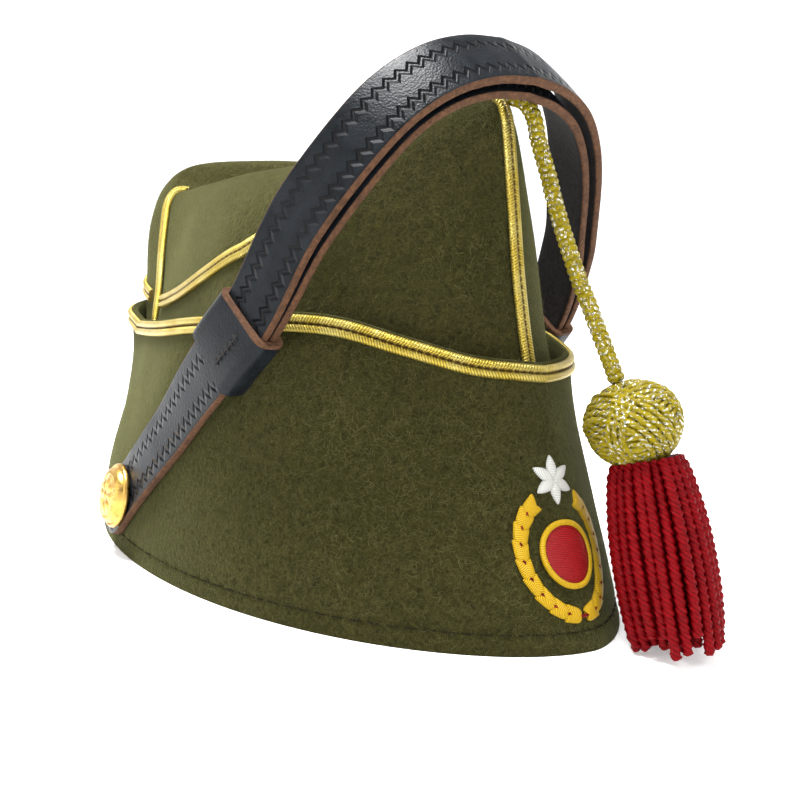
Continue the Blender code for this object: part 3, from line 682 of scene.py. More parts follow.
# %% Raw edge and flesh side
def make_raw_leather(name, low, high, scale):
    material, tree, shader = new_material(name, high, 0.85, Specular_IOR_Level=0.25)
    place = object_place(tree)
    fibres = noise(tree, place, scale, 5, 0.7, 0.6)
    burnish = noise(tree, place, 160, 3)
    colour = mix_colours(tree, ramp(tree, fibres, 0.30, 0.72), low, high)
    colour = mix_colours(tree, ramp(tree, burnish, 0.56, 0.74, 0.0, 0.6), colour, low)
    feed(shader, "Base Color", colour)
    feed(shader, "Normal", bump(tree, fibres, 0.0005, 0.9))
    return material


raw_edge = make_raw_leather("raw leather edge", (0.024, 0.010, 0.004), (0.125, 0.054, 0.023), 900)
flesh_side = make_raw_leather("leather back", (0.007, 0.006, 0.006), (0.024, 0.021, 0.020), 700)
print("Materials", raw_edge.name, "and", flesh_side.name)

# %% [markdown]
# Metal thread. Cord and knot are yellow yarn with silver foil between the plies. The UV's X runs once
# round each strand and Y runs in metres along it, so the sum of the two turns round the strand as a ply
# does. In one part of that turn the foil takes over: it is metal, and the yarn is not.

# %% Metal thread
def make_metal_thread():
    material, tree, shader = new_material("gold and silver thread", (0.40, 0.32, 0.004), 0.38, 0.35,
                                          Specular_IOR_Level=0.15)
    place = object_place(tree)
    around, along = along_across(tree)
    turns = maths(tree, "ADD", maths(tree, "MULTIPLY", around, 3.0), maths(tree, "DIVIDE", along, 0.0022))
    phase = maths(tree, "FRACT", turns)
    foil = ramp(tree, maths(tree, "ABSOLUTE", maths(tree, "SUBTRACT", phase, 0.5)), 0.24, 0.32)
    specks = ramp(tree, noise(tree, place, 850, 3, 0.6), 0.49, 0.57)
    foil = maths(tree, "MULTIPLY", foil, specks)
    yarn = mix_colours(tree, noise(tree, place, 420, 3), (0.08, 0.056, 0.0003), (0.36, 0.285, 0.0010))
    colour = mix_colours(tree, foil, yarn, (0.55, 0.55, 0.49))
    feed(shader, "Base Color", colour)
    feed(shader, "Metallic", ramp(tree, foil, 0, 1, 0.05, 1.0))
    feed(shader, "Roughness", ramp(tree, foil, 0, 1, 0.48, 0.16))
    threads = ribbing(tree, turns, 3)
    feed(shader, "Normal", bump(tree, threads, 0.00018, 0.8))
    return material


metal_thread = make_metal_thread()
print("Material", metal_thread.name)

# %% [markdown]
# Fringe yarn. It is twisted from plies, deep red and dull. The plies themselves are in the mesh, so the
# material only adds the fine threads on them, drawn darker between them as painted shade, and a slow change
# between darker and lighter places.

# %% Fringe yarn
def make_fringe_yarn():
    material, tree, shader = new_material("red fringe", (0.20, 0.0006, 0.003), 0.50, Specular_IOR_Level=0.07)
    around, along = along_across(tree)
    place = object_place(tree)
    turns = maths(tree, "ADD", maths(tree, "MULTIPLY", around, 4.0), maths(tree, "DIVIDE", along, 0.0014))
    ribs = ribbing(tree, turns)
    patch = noise(tree, place, 220, 3)
    # Painted shade: the colour is darker in the valleys between the twisted threads, and the patch noise adds
    # random tone.
    painted_rib_shade_and_tone = maths(tree, "ADD", maths(tree, "MULTIPLY", ribs, 0.5), maths(tree, "MULTIPLY", patch, 0.6))
    colour = mix_colours(tree, painted_rib_shade_and_tone, (0.035, 0.0001, 0.0004), (0.20, 0.0005, 0.003))
    feed(shader, "Base Color", colour)
    feed(shader, "Normal", bump(tree, ribs, 0.00014, 0.8))
    return material


red_yarn = make_fringe_yarn()
print("Material", red_yarn.name)

# %% [markdown]
# Button metal. The buttons are stamped brass. A polished metal shows only the white studio round it, so
# worn places and small dark spots are mixed in, which also roughen it.

# %% Button metal
def make_button_metal():
    material, tree, shader = new_material("button brass", (0.52, 0.32, 0.08), 0.30, 1.0)
    place = object_place(tree)
    spots = noise(tree, place, 500, 4, 0.6)
    worn = ramp(tree, noise(tree, place, 160, 3), 0.40, 0.62)
    colour = mix_colours(tree, worn, (0.56, 0.35, 0.090), (0.42, 0.25, 0.055))
    colour = mix_colours(tree, ramp(tree, spots, 0.56, 0.72, 0.0, 0.5), colour, (0.16, 0.085, 0.022))
    feed(shader, "Base Color", colour)
    feed(shader, "Roughness", ramp(tree, spots, 0.3, 0.7, 0.22, 0.42))
    feed(shader, "Normal", bump(tree, spots, 0.0001, 0.5))
    return material


brass = make_button_metal()
print("Material", brass.name)

# %% [markdown]
# Embroidery. Satin stitch lays parallel threads side by side across a shape. Real threads would be
# thousands of thin tubes, so they are ribs in the bump, and the colour is darker in the valleys between
# them as painted shade. The UV's X runs across them, in metres, and a little noise keeps them from being
# straight.

# %% Embroidery
def make_satin(name, low, high):
    material, tree, shader = new_material(name, high, 0.5, Specular_IOR_Level=0.2)
    along, _ = along_across(tree)
    wander = maths(tree, "MULTIPLY", noise(tree, object_place(tree), 400, 2), 0.0004)
    run = maths(tree, "DIVIDE", maths(tree, "ADD", along, wander), 0.00045)
    ribs = ribbing(tree, run)
    # Painted shade: the colour is darker in the valleys between the satin threads.
    colour = mix_colours(tree, ramp(tree, ribs, 0.05, 0.75), low, high)
    feed(shader, "Base Color", colour)
    feed(shader, "Normal", bump(tree, ribs, 0.00022, 0.9))
    return material


yellow_satin = make_satin("yellow satin stitch", (0.17, 0.090, 0.0012), (0.52, 0.32, 0.005))
red_satin = make_satin("red satin stitch", (0.07, 0.001, 0.002), (0.26, 0.004, 0.006))
white_satin = make_satin("white satin stitch", (0.24, 0.24, 0.23), (0.56, 0.56, 0.53))
stitch_thread, _, _ = new_material("rim thread", (0.010, 0.009, 0.003), 0.9, Specular_IOR_Level=0.1)
print("Thread materials", yellow_satin.name, red_satin.name, white_satin.name, stitch_thread.name, sep=", ")

# %% [markdown]
# Cord. It is plaited from metal thread, leaves the top of the front seam and hangs to the knot. A plain
# tube would show its smooth outline against the light, so twelve strands are modelled: six turn one way
# and six the other, and each rises over those that it crosses. Its route is the list of points that its
# solid has.

# %% Cord
CORD_ROUTE = np.array([
    (0.0032, -0.0565, 0.1488),
    (0.0044, -0.0616, 0.1471),
    (0.0052, -0.0648, 0.1428),
    (0.0056, -0.0664, 0.1375),
    (0.0059, -0.0686, 0.1323),
    (0.0061, -0.0709, 0.1273),
    (0.0062, -0.0730, 0.1221),
    (0.0063, -0.0753, 0.1170),
    (0.0065, -0.0776, 0.1120),
    (0.0069, -0.0800, 0.1070),
    (0.0073, -0.0824, 0.1020),
    (0.0079, -0.0848, 0.0970),
    (0.0087, -0.0874, 0.0921),
    (0.0094, -0.0898, 0.0871),
    (0.0102, -0.0922, 0.0822),
    (0.0111, -0.0945, 0.0772),
    (0.0120, -0.0968, 0.0722),
])


PLAIT_STRANDS = 12
PLAIT_TURN = 0.0120


def build_cord():
    body = bmesh.new()
    path = resample(CORD_ROUTE, 420)
    run = lengths(path)
    across, up = carried_frames(path)
    strand = CORD_DIAMETER * 0.19
    for k in range(PLAIT_STRANDS):
        way = 1 if k % 2 == 0 else -1
        angle = way * 2 * pi * run / PLAIT_TURN + 2 * pi / PLAIT_STRANDS * k
        rise = 0.5 + 0.5 * np.cos(PLAIT_STRANDS / 2 * angle + (0 if way > 0 else pi))
        reach = CORD_DIAMETER / 2 - strand * (1.25 - 0.5 * rise)
        line = path + across * (reach * np.cos(angle))[:, None] + up * (reach * np.sin(angle))[:, None]
        tube(body, line, strand, sides=7)
    return new_piece("tassel_cord_plait", body, [metal_thread], "tassel_cord")


cord_piece = build_cord()

# %% [markdown]
# Knot. On the real tassel a plied cord is wound round a ball. A ball with a bump would look printed, so
# the winding is a real path: many turns about one axis, and a few loose turns laid over them about two
# others. A smaller ball fills the inside.

# %% Winding
def knot_place():
    down = Vector(CORD_ROUTE[-1] - CORD_ROUTE[-2]).normalized()
    return Vector(CORD_ROUTE[-1]) + down * (KNOT_HEIGHT / 2 + TOUCH_GAP), down


def winding(turns, start, end, strand, tilt, sideways, rise):
    """Path wound round the ball from one polar angle to another, about an axis tilted from the cord."""
    centre, down = knot_place()
    t = np.linspace(0, 1, int(turns * 60))
    polar = np.radians(start + (end - start) * t)
    angle = 2 * pi * turns * t
    level = np.sin(polar)
    direction = np.stack([level * np.cos(angle), level * np.sin(angle), np.cos(polar)], axis=1)
    axis = Matrix.Rotation(radians(tilt), 3, "Y") @ Matrix.Rotation(radians(sideways), 3, "X")
    direction = direction @ np.array(axis).T
    flat = KNOT_HEIGHT / KNOT_DIAMETER
    reach = KNOT_DIAMETER / 2 - strand + rise
    local = direction * reach * np.array([1, 1, flat])
    turn = np.array(down.to_track_quat("Z", "Y").to_matrix())
    return local @ turn.T + np.array(centre)


# Columns: turns, first and last polar angle, strand, tilt, sideways, rise, radius, twist.
WINDINGS = (
    (18.5, 7, 173, 0.00100, 24, 14, 0.0, 0.00108, 2900),
    (5.5, 52, 100, 0.00098, -50, 34, 0.0007, 0.00104, -2900),
    (3.5, 40, 70, 0.00098, -72, -42, 0.0006, 0.00104, 2900),
)
print("Knot centre", tuple(round(v, 4) for v in knot_place()[0]))


# %% Knot
def build_knot():
    body = bmesh.new()
    for *route, radius, twist in WINDINGS:
        tube(body, winding(*route), radius, sides=9, twist=twist, lobes=3, depth=0.42)
    centre, down = knot_place()
    core = bmesh.ops.create_uvsphere(body, u_segments=24, v_segments=16, radius=KNOT_DIAMETER / 2 - 0.0019)
    flat = Matrix.Diagonal((1, 1, KNOT_HEIGHT / KNOT_DIAMETER, 1))
    turn = down.to_track_quat("Z", "Y").to_matrix().to_4x4()
    bmesh.ops.transform(body, matrix=Matrix.Translation(centre) @ turn @ flat, verts=core["verts"])
    return new_piece("tassel_knot_winding", body, [metal_thread], "tassel_knot")


knot_piece = build_knot()
print("Knot faces", len(knot_piece.data.polygons))

# %% [markdown]
# Fringe. It is a bundle of twisted yarns that starts under the knot. Hair would not export, so each yarn
# is a tube whose section has three plies. The yarns stand in four rings, lean with the bundle and end a
# little above the floor or on it, each at its own length.

# %% Fringe
FRINGE_LEAN = (0.02, -0.32, -1.0)
FRINGE_RINGS = ((23, 0.95, 0.66), (17, 0.68, 0.48), (11, 0.42, 0.30), (5, 0.18, 0.12))
YARN_RADIUS = 0.00165


def build_fringe():
    dice = random.Random(11)
    centre, down = knot_place()
    top = np.array(centre + down * (KNOT_HEIGHT / 2 - 0.0012))
    lean = np.array(Vector(FRINGE_LEAN).normalized())
    side = unit(np.cross(lean, (0, 1, 0)))
    front = np.cross(side, lean)
    body = bmesh.new()
    for ring_count, spread, top_spread in FRINGE_RINGS:
        for k in range(ring_count):
            angle = 2 * pi * (k + dice.uniform(-0.16, 0.16)) / ring_count + spread
            reach = FRINGE_WIDTH / 2 * spread * dice.uniform(0.94, 1.04)
            length = FRINGE_LENGTH + 0.0012 + dice.uniform(-0.0045, 0.0020)
            t = np.linspace(0, 1, 96)
            open_out = smooth([0, 0.08, 0.4, 0.75, 1.0], [top_spread, 0.82 * spread, spread, spread * 1.02,
                              spread * 0.94], t) * FRINGE_WIDTH / 2
            open_out = open_out * reach / (FRINGE_WIDTH / 2 * spread)
            sway = 0.0005 * np.sin(t * 5 + dice.uniform(0, 6)) + dice.uniform(-0.0008, 0.0008) * t
            line = (top + lean * (length * t)[:, None] + side * (open_out * cos(angle) + sway)[:, None]
                    + front * (open_out * sin(angle) + sway * 0.5)[:, None])
            floor = 0.0013 + 0.0002 * dice.random()
            line[:, 2] = np.where(line[:, 2] < floor + 0.002,
                                  floor + 0.002 * np.exp((line[:, 2] - floor - 0.002) / 0.002), line[:, 2])
            yarn = np.full(len(t), YARN_RADIUS)
            yarn[-1] = 0.0010
            tube(body, line, yarn, sides=12, twist=-900, lobes=3, depth=0.40)
    return new_piece("tassel_fringe_yarns", body, [red_yarn], "tassel_fringe")


fringe_piece = build_fringe()
print("Fringe yarns", sum(ring[0] for ring in FRINGE_RINGS))

# %% [markdown]
# Crown. The felt shell follows the table of sections on a fine grid. Solidify would fold over itself in
# the narrow valley, so the inner wall is the same grid moved inwards along the surface's own direction.
# Slow swells, a fraction of a millimetre high, take away the look of a turned shape.

# %% Crown
CROWN_SWELL = 0.00035
CURTAIN_SWELL = 0.00040


def unevenness(points, size):
    """Slow swells of pressed felt, in metres."""
    x, y, z = points[..., 0], points[..., 1], points[..., 2]
    swell = np.sin(95 * x + 60 * z + 1.3) * np.sin(74 * y - 50 * z + 0.4)
    swell = swell + 0.5 * np.sin(170 * y + 90 * x) * np.sin(150 * z + 2.0)
    return swell[..., None] * size


def build_crown():
    sides, alongs = round_the_cap(130)
    rows = np.linspace(0, len(SECTIONS) - 1.02, 97)
    points = crown_point(sides[None, :], alongs[None, :], rows[:, None])
    outward = crown_outward(sides[None, :], alongs[None, :], rows[:, None])
    fade = np.clip(points[..., 2] / 0.08, 0, 1)[..., None] * (rows < RIDGE_ROW)[:, None, None]
    points = points + outward * unevenness(points, CROWN_SWELL) * fade
    inner = points - outward * CROWN_WALL
    inner[0, :, 2] = 0.0
    body = bmesh.new()
    skin(body, np.concatenate([inner[::-1], points]), wrap_columns=True, caps=True)
    return new_piece("crown_felt", body, [felt], "crown", sharp=80)


crown_piece = build_crown()
print("Crown faces", len(crown_piece.data.polygons))

# %% [markdown]
# Curtain. The turned-up band has soft round edges at its top and its rim. Its section is a short list of
# heights and depths, carried round the whole cap. A line of stitches runs round it 5 mm above the rim.
# They pull the felt in, which is done in the mesh, so that it also shows in the light along the rim.

# %% Stitch line
STITCH_HEIGHT = 0.0054
STITCH_PITCH = 0.0052


def rim_run(count):
    """Arc length once round the rim at each station, and the whole length."""
    sides, alongs = round_the_cap(count)
    run = lengths(curtain_point(sides, alongs, 0.0, 1.0), closed=True)
    return sides, alongs, run[:-1], run[-1]


def stitch_phase(run, whole):
    """Phase in each stitch, 0 to 1, with a whole number of stitches round the rim."""
    count = round(whole / STITCH_PITCH)
    return (run / whole * count) % 1.0, count


print("Rim", round(float(rim_run(380)[3]), 4), "m round")


# %% Curtain
def build_curtain():
    sides, alongs, run, whole = rim_run(380)
    phase, _ = stitch_phase(run, whole)
    profile = [(0.0, 0.80), (0.006, 0.93), (0.016, 1.0)]
    profile += [(v, 1.0) for v in (0.034, 0.048, 0.058, 0.066, 0.074, 0.082, 0.092, 0.105, 0.125)]
    profile += [(v, 1.0) for v in np.linspace(0.16, 0.965, 24)]
    profile += [(0.986, 0.95), (0.997, 0.78), (1.0, 0.5), (0.997, 0.22), (0.986, 0.05)]
    profile += [(v, 0.0) for v in (0.95, 0.8, 0.6, 0.4, 0.2, 0.05)]
    profile += [(0.006, 0.07), (0.0, 0.20)]
    share = np.array([p[0] for p in profile])
    depth = np.array([p[1] for p in profile])
    points = curtain_point(sides[None, :], alongs[None, :], share[:, None], depth[:, None])
    rows = row_at_height(sides[None, :], alongs[None, :], points[..., 2])
    outward = crown_outward(sides[None, :], alongs[None, :], rows)
    face = (depth > 0.9)[:, None, None]
    line = np.exp(-((points[..., 2] - STITCH_HEIGHT) / 0.0011) ** 2)
    hole = np.exp(-((np.abs(phase - 0.5) - 0.5) / 0.10) ** 2)[None, :]
    pull = line * (0.00042 + 0.00050 * hole) + 0.00020 * (points[..., 2] < STITCH_HEIGHT) * (1 - line)
    fade = np.clip((points[..., 2] - 0.006) / 0.02, 0, 1) * np.clip((0.93 - share[:, None]) / 0.1, 0, 1)
    points = points - outward * np.where(face, pull[..., None], 0)
    points = points + outward * unevenness(points, CURTAIN_SWELL) * np.where(face, fade[..., None], 0)
    body = bmesh.new()
    skin(body, points, wrap_rows=True, wrap_columns=True)
    return new_piece("curtain_felt", body, [felt], "curtain", sharp=75)


curtain_piece = build_curtain()
print("Curtain faces", len(curtain_piece.data.polygons))

# %% Rim stitches
def build_rim_stitches():
    sides, alongs, run, whole = rim_run(380)
    _, count = stitch_phase(run, whole)
    height = np.full(len(run), STITCH_HEIGHT)
    cloth = curtain_point(sides, alongs, height / curtain_height(alongs), 1.0)
    outward = crown_outward(sides, alongs, row_at_height(sides, alongs, height))
    ends = np.concatenate([run, [whole]])
    cloth = np.vstack([cloth, cloth[:1]])
    outward = np.vstack([outward, outward[:1]])
    arch = 0.00024 * np.sin(np.linspace(0, pi, 7)) - 0.00048
    body = bmesh.new()
    for k in range(count):
        at = (k + np.linspace(0.16, 0.84, 7)) * whole / count
        line = np.stack([np.interp(at, ends, cloth[:, i]) for i in range(3)], axis=1)
        out = np.stack([np.interp(at, ends, outward[:, i]) for i in range(3)], axis=1)
        tube(body, line + out * arch[:, None], 0.00022, sides=6)
    return new_piece("rim_stitches", body, [stitch_thread], None)


build_rim_stitches()
print("Rim stitches", stitch_phase(rim_run(380)[2], rim_run(380)[3])[1])

# %% [markdown]
# Braid. Two rounded cords with a channel between them are swept along the curtain's edge, the two seams
# and the two sides. A curve object could do the sweep, but its section would turn freely. Here the section
# stands on the cloth's own outward direction, so the braid lies flat on it everywhere.

# %% Braid sweeps
def braid_section():
    """Offsets across and out, in metres, with the share across that the UV carries."""
    lobe = BRAID_WIDTH / 4
    offsets = []
    for centre in (-1, 1):
        for angle in np.linspace(200, -20, 9):
            x = centre * lobe * 1.02 + cos(radians(angle)) * lobe * 0.98
            z = max(sin(radians(angle)), -0.3) * lobe * 0.95 + 0.00012
            offsets.append((x, z))
    shares = [x / (BRAID_WIDTH / 2) for x, _ in offsets]
    base = [(BRAID_WIDTH / 2 * 0.9, -0.0004), (-BRAID_WIDTH / 2 * 0.9, -0.0004)]
    return np.array(offsets + base), shares + [0.95, -0.95]


def build_braid(name, node, points, outward, closed=False):
    """Sweep the braid along points that lie on the cloth."""
    if closed:
        tangent = unit(np.roll(points, -1, axis=0) - np.roll(points, 1, axis=0))
    else:
        tangent = unit(np.gradient(points, axis=0))
    across = unit(np.cross(outward, tangent))
    lift = unit(np.cross(tangent, across))
    offsets, shares = braid_section()
    middle = points + lift * TOUCH_GAP
    rings = (middle[:, None, :] + across[:, None, :] * offsets[None, :, :1]
             + lift[:, None, :] * offsets[None, :, 1:])
    body = bmesh.new()
    run = lengths(points, closed)
    skin(body, rings, u=shares + [shares[0]], v=run, wrap_rows=closed, wrap_columns=True, caps=not closed)
    swap_uv(body)
    return new_piece(name, body, [braid], node)


print("Braid section", len(braid_section()[0]), "points")


# %% Braid routes
def even_route(make, count):
    """Stations that lie evenly along a route given as a function of 0 to 1."""
    rough = np.linspace(0, 1, 240)
    run = lengths(make(rough)[0])
    at = np.interp(np.linspace(0, run[-1], count), run, rough)
    return make(at)


def curtain_braid_route():
    sides, alongs, _, _ = rim_run(300)
    share = 1 - BRAID_WIDTH * 0.62 / curtain_height(alongs)
    here = curtain_point(sides, alongs, share, 1.0)
    below = curtain_point(sides, alongs, share - 0.08, 1.0)
    run = np.roll(here, -1, axis=0) - np.roll(here, 1, axis=0)
    outward = unit(np.cross(run, here - below))
    inward = dot(outward, here * SIDEWAYS) < 0
    return here, np.where(inward, -outward, outward)


def seam(along):
    """Route up the front or rear seam, from behind the curtain's edge to just over the ridge."""
    height = curtain_height(along) - BRAID_WIDTH * 0.6
    start = float(row_at_height(RIGHT, along, height))

    def make(t):
        rows = start + (RIDGE_ROW + 0.5 - start) * t
        return crown_point(RIGHT, along, rows), crown_outward(RIGHT, along, rows)
    return make


def diagonal(side):
    """Route of a side braid, from the rear foot forward and up over the ridge."""
    keys = np.linspace(0, 1, len(DIAGONAL))

    def make(t):
        along = smooth(keys, DIAGONAL[:, 0], t)
        climb = smooth(keys, DIAGONAL[:, 1], t)
        start = row_at_height(side, along, curtain_height(along) + BRAID_WIDTH * 0.80)
        rows = start + (RIDGE_ROW - 0.2 - start) * climb
        return crown_point(side, along, rows), crown_outward(side, along, rows)
    return make


build_braid("curtain_edge_braid", "curtain_braid", *curtain_braid_route(), closed=True)
build_braid("front_braid", "front_seam_braid", *even_route(seam(0.0), 150))
build_braid("rear_braid", "rear_seam_braid", *even_route(seam(1.0), 110))
build_braid("right_side_braid", "diagonal_braid_right", *even_route(diagonal(RIGHT), 260))
build_braid("left_side_braid", "diagonal_braid_left", *even_route(diagonal(LEFT), 260))
print("Braids swept")

# %% [markdown]
# Strap. Each half starts at its button, runs through its keeper, goes over the arch and ends in the other
# keeper, the right half on the outside. Its frames give the middle, the width and the face at each place,
# from the same table as its solid. The section has its own faces for the finish, the edges and the back,
# so that each takes its own leather.

# %% Strap route
def way_value(column, t):
    return smooth(np.linspace(0, 1, len(STRAP_WAY)), STRAP_WAY[:, column], t)


def curtain_seat(side, back, height):
    """Place on the curtain at a given distance back and height, with its outward direction."""
    def ahead(along):
        return curtain_point(side, along, height / curtain_height(along), 1.0)[..., 1] < back
    along = halve(np.full_like(back, 0.1), np.full_like(back, 0.95), 22, ahead)
    return curtain_at_height(side, along, height)


def ease(value):
    value = np.clip(value, 0, 1)
    return value * value * (3 - 2 * value)


def strap_centre(side, t):
    back = way_value(1, t) * RIM_LENGTH
    height = way_value(2, t) * STRAP_HEIGHT
    across = side * way_value(0, t) * STRAP_REACH
    across = across - ARCH_SHIFT * ease((t - KEEPER_STATION / STRAP_STEPS) / 0.35)
    free = np.stack([across, back, height], axis=1)
    seat = np.clip(way_value(4, t), 0, 1)[:, None]
    point, outward = curtain_seat(side, back, height)
    seated = point + outward * (TOUCH_GAP + STRAP_THICKNESS / 2)
    return free * (1 - seat) + seated * seat, outward, seat


print("Top of the arch", strap_centre(RIGHT, np.array([1.0]))[0][0].round(4))


# %% Strap frames
def strap_frames(side, t):
    """Middle, width direction and face direction of the strap at shares t of its half."""
    centre, outward, seat = strap_centre(side, t)
    ahead = strap_centre(side, np.minimum(t + 0.01, 1))[0]
    behind = strap_centre(side, np.maximum(t - 0.01, 0))[0]
    tangent = unit(ahead - behind)
    tangent[t >= 1.0] = (-side, 0, 0)
    lean = np.radians(way_value(3, t))
    width = np.stack([np.zeros_like(lean), np.cos(lean), np.sin(lean)], axis=1)
    face = unit(np.cross(width, tangent)) * side
    face = face * (1 - seat) + outward * seat
    face = unit(face - tangent * dot(face, tangent))
    width = unit(np.cross(tangent, face))
    width = np.where(width[:, 1:2] < 0, -width, width)
    return centre, width, face


def layer_lift(station, rides):
    close = STRAP_THICKNESS + SLIDE_GAP
    over = close + (STRAP_LAYER_GAP - SLIDE_GAP) * ease((station - KEEPER_STATION) / 8)
    under = close * (1 - ease((KEEPER_STATION - OVERRUN - station) / 5)) if rides else close + 0 * station
    return np.where(station >= KEEPER_STATION, over, under)


print("Lift at the arch", float(layer_lift(STRAP_STEPS, True)))


# %% Strap section
def strap_section():
    """Outline of the strap's section: share across, share through, and which finish it takes."""
    outline = []
    for x in np.linspace(-0.955, 0.955, 27):
        outline.append((x, 1.0, 0))
    outline += [(0.985, 0.86, 1), (1.0, 0.45, 1), (1.0, -0.45, 1), (0.985, -0.86, 1)]
    for x in np.linspace(0.955, -0.955, 9):
        outline.append((x, -1.0, 2))
    outline += [(-0.985, -0.86, 1), (-1.0, -0.45, 1), (-1.0, 0.45, 1), (-0.985, 0.86, 1)]
    return outline


print("Strap section", len(strap_section()), "points")


# %% Strap halves
def build_strap(name, node, own_side, outer):
    tip = np.array([0.0, 0.0015, 0.005, 0.011, 0.02, 0.032, 0.048])
    own_t = np.concatenate([tip, np.linspace(0.066, 1.0, 190)])
    other_t = np.linspace(1.0, (KEEPER_STATION - OVERRUN) / STRAP_STEPS, 150)[1:]
    parts = []
    for side, t, rides in ((own_side, own_t, True), (-own_side, other_t, False)):
        centre, width, face = strap_frames(side, t)
        lift = layer_lift(t * STRAP_STEPS, rides) if outer else 0 * t
        if rides:
            onward = unit(centre[0] - centre[len(tip)])
            share = np.clip(1 - t * STRAP_STEPS / BUTTON_STATION, 0, 1)
            centre = centre + onward * (TIP_REACH * share)[:, None]
        parts.append((centre + face * lift[:, None], width, face))
    centre, width, face = (np.concatenate(pair) for pair in zip(*parts))
    run = lengths(centre)
    half = np.full(len(centre), STRAP_WIDTH / 2)
    near_tip = np.clip(run[:len(tip) + 12] / (STRAP_WIDTH * 0.5), 0, 1)
    half[:len(near_tip)] *= np.maximum(np.sqrt(np.clip(1 - (1 - near_tip) ** 2, 0, 1)), 0.36)
    outline = strap_section()
    x = np.array([p[0] for p in outline])
    z = np.array([p[1] for p in outline])
    dome = 0.00035 * (1 - x ** 2)
    points = (centre[:, None, :] + width[:, None, :] * (half[:, None] * x[None, :])[..., None]
              + face[:, None, :] * (z * STRAP_THICKNESS / 2 + dome)[None, :, None])
    body = bmesh.new()
    finishes = [outline[i][2] if outline[i][2] == outline[(i + 1) % len(outline)][2] else 1
                for i in range(len(outline))]
    u = list(x * STRAP_WIDTH / 2) + [x[0] * STRAP_WIDTH / 2]
    skin(body, points, u=u, v=run, wrap_columns=True, slots=finishes, caps=True)
    swap_uv(body)
    for one in body.faces:
        if len(one.verts) > 4:
            one.material_index = 1
    print(name, "length", round(float(run[-1]), 4))
    return new_piece(name, body, [strap_leather, raw_edge, flesh_side], node, sharp=50)


build_strap("strap_outer_layer", "strap_right", RIGHT, True)
build_strap("strap_inner_layer", "strap_left", LEFT, False)

# %% [markdown]
# Keepers. A leather loop holds both layers together. A bevelled box would not bend with the strap, so a
# rounded rectangle is carried along the strap's own frames, up the outside and back down the inside. Its
# upper rim is raw, and a short row of stitches closes it on its face.

# %% Rounded loop
def rounded_loop(half_width, half_thickness, radius, count):
    """Points round a rectangle with round corners, as shares evenly along it."""
    corner = []
    for quarter, (sx, sz) in enumerate(((1, 1), (-1, 1), (-1, -1), (1, -1))):
        for angle in np.linspace(0, 90, 9):
            turn = radians(angle + 90 * quarter)
            corner.append((sx * (half_width - radius) + radius * cos(turn),
                           sz * (half_thickness - radius) + radius * sin(turn)))
    corner = np.array(corner)
    run = lengths(corner, closed=True)
    at = np.linspace(0, run[-1], count + 1)[:-1]
    ends = np.vstack([corner, corner[:1]])
    return np.stack([np.interp(at, run, ends[:, k]) for k in range(2)], axis=1)


LOOP_POINTS = 120
print("Points round a keeper", LOOP_POINTS)


# %% Keepers
def build_keeper(name, node, side):
    middle = KEEPER_STATION / STRAP_STEPS
    rough = np.linspace(middle - 0.1, middle + 0.1, 81)
    centre, _, _ = strap_frames(side, rough)
    run = lengths(centre)
    run = run - np.interp(middle, rough, run)
    reach = KEEPER_LENGTH / 2
    t = np.interp(np.linspace(-reach, reach, 21), run, rough)
    centre, width, face = strap_frames(side, t)
    centre = centre + face * (STRAP_THICKNESS + SLIDE_GAP) / 2
    half_thickness = STRAP_THICKNESS + SLIDE_GAP * 1.5
    half_width = STRAP_WIDTH / 2 + SLIDE_GAP
    outer = rounded_loop(half_width + KEEPER_WALL, half_thickness + KEEPER_WALL, 0.0034, LOOP_POINTS)
    inner = rounded_loop(half_width, half_thickness, 0.0016, LOOP_POINTS)

    def rings(stations, loop):
        return (centre[stations][:, None, :] + width[stations][:, None, :] * loop[None, :, :1]
                + face[stations][:, None, :] * loop[None, :, 1:])

    order = np.arange(len(t))
    middle_loop = outer * 0.5 + inner * 0.5
    stack = [rings(order[:1], outer * 0.985 + inner * 0.015), rings(order[1:-1], outer),
             rings(order[-1:], outer * 1.01 - inner * 0.01), rings(order[-1:], middle_loop),
             rings(order[-1:], inner), rings(order[::-1], inner), rings(order[:1], middle_loop)]
    body = bmesh.new()
    skin(body, np.concatenate(stack), wrap_rows=True, wrap_columns=True)
    body.faces.ensure_lookup_table()
    for index, one in enumerate(body.faces):
        one.material_index = 0 if index // LOOP_POINTS < len(t) - 2 else 1
    keeper = new_piece(name, body, [plain_leather, raw_edge], node, sharp=50)
    seam_body = bmesh.new()
    lift = face * (half_thickness + KEEPER_WALL + 0.00005)
    shift = -width * STRAP_WIDTH * 0.18
    line = (centre + lift + shift)[4:17]
    tube(seam_body, line, 0.00035, sides=6)
    for k in range(5, 17, 2):
        ends = np.linspace(-1, 1, 5)[:, None]
        rise = (1 - ends ** 2) * 0.00018
        bar = (centre + lift + shift)[k] + width[k] * 0.0011 * ends + face[k] * rise
        tube(seam_body, bar, 0.00024, sides=6)
    new_piece(name + "_seam", seam_body, [flesh_side], None)
    return keeper


build_keeper("keeper_loop_right", "keeper_right", RIGHT)
build_keeper("keeper_loop_left", "keeper_left", LEFT)
print("Keepers built")

# %% [markdown]
# Buttons. A button is a round stamping. Half its section is spun once round, and then the points of its
# face are raised by the pattern, a plain rosette in a rope ring. The strap's own frame places it on top of
# the leather.

# %% Buttons
def button_relief(reach, angle):
    """Height of the stamped pattern at a share of the radius: petals, boss, ring and rope."""
    petals = exp(-((reach - 0.36) / 0.15) ** 2) * (0.5 + 0.5 * cos(8 * angle)) ** 0.7 * 0.00055
    boss = exp(-(reach / 0.10) ** 4) * 0.00045
    ring = exp(-((reach - 0.58) / 0.02) ** 2) * 0.00014
    rope = exp(-((reach - 0.70) / 0.055) ** 2) * (0.6 + 0.4 * cos(34 * angle + 26 * reach)) * 0.00045
    return petals + boss + ring + rope


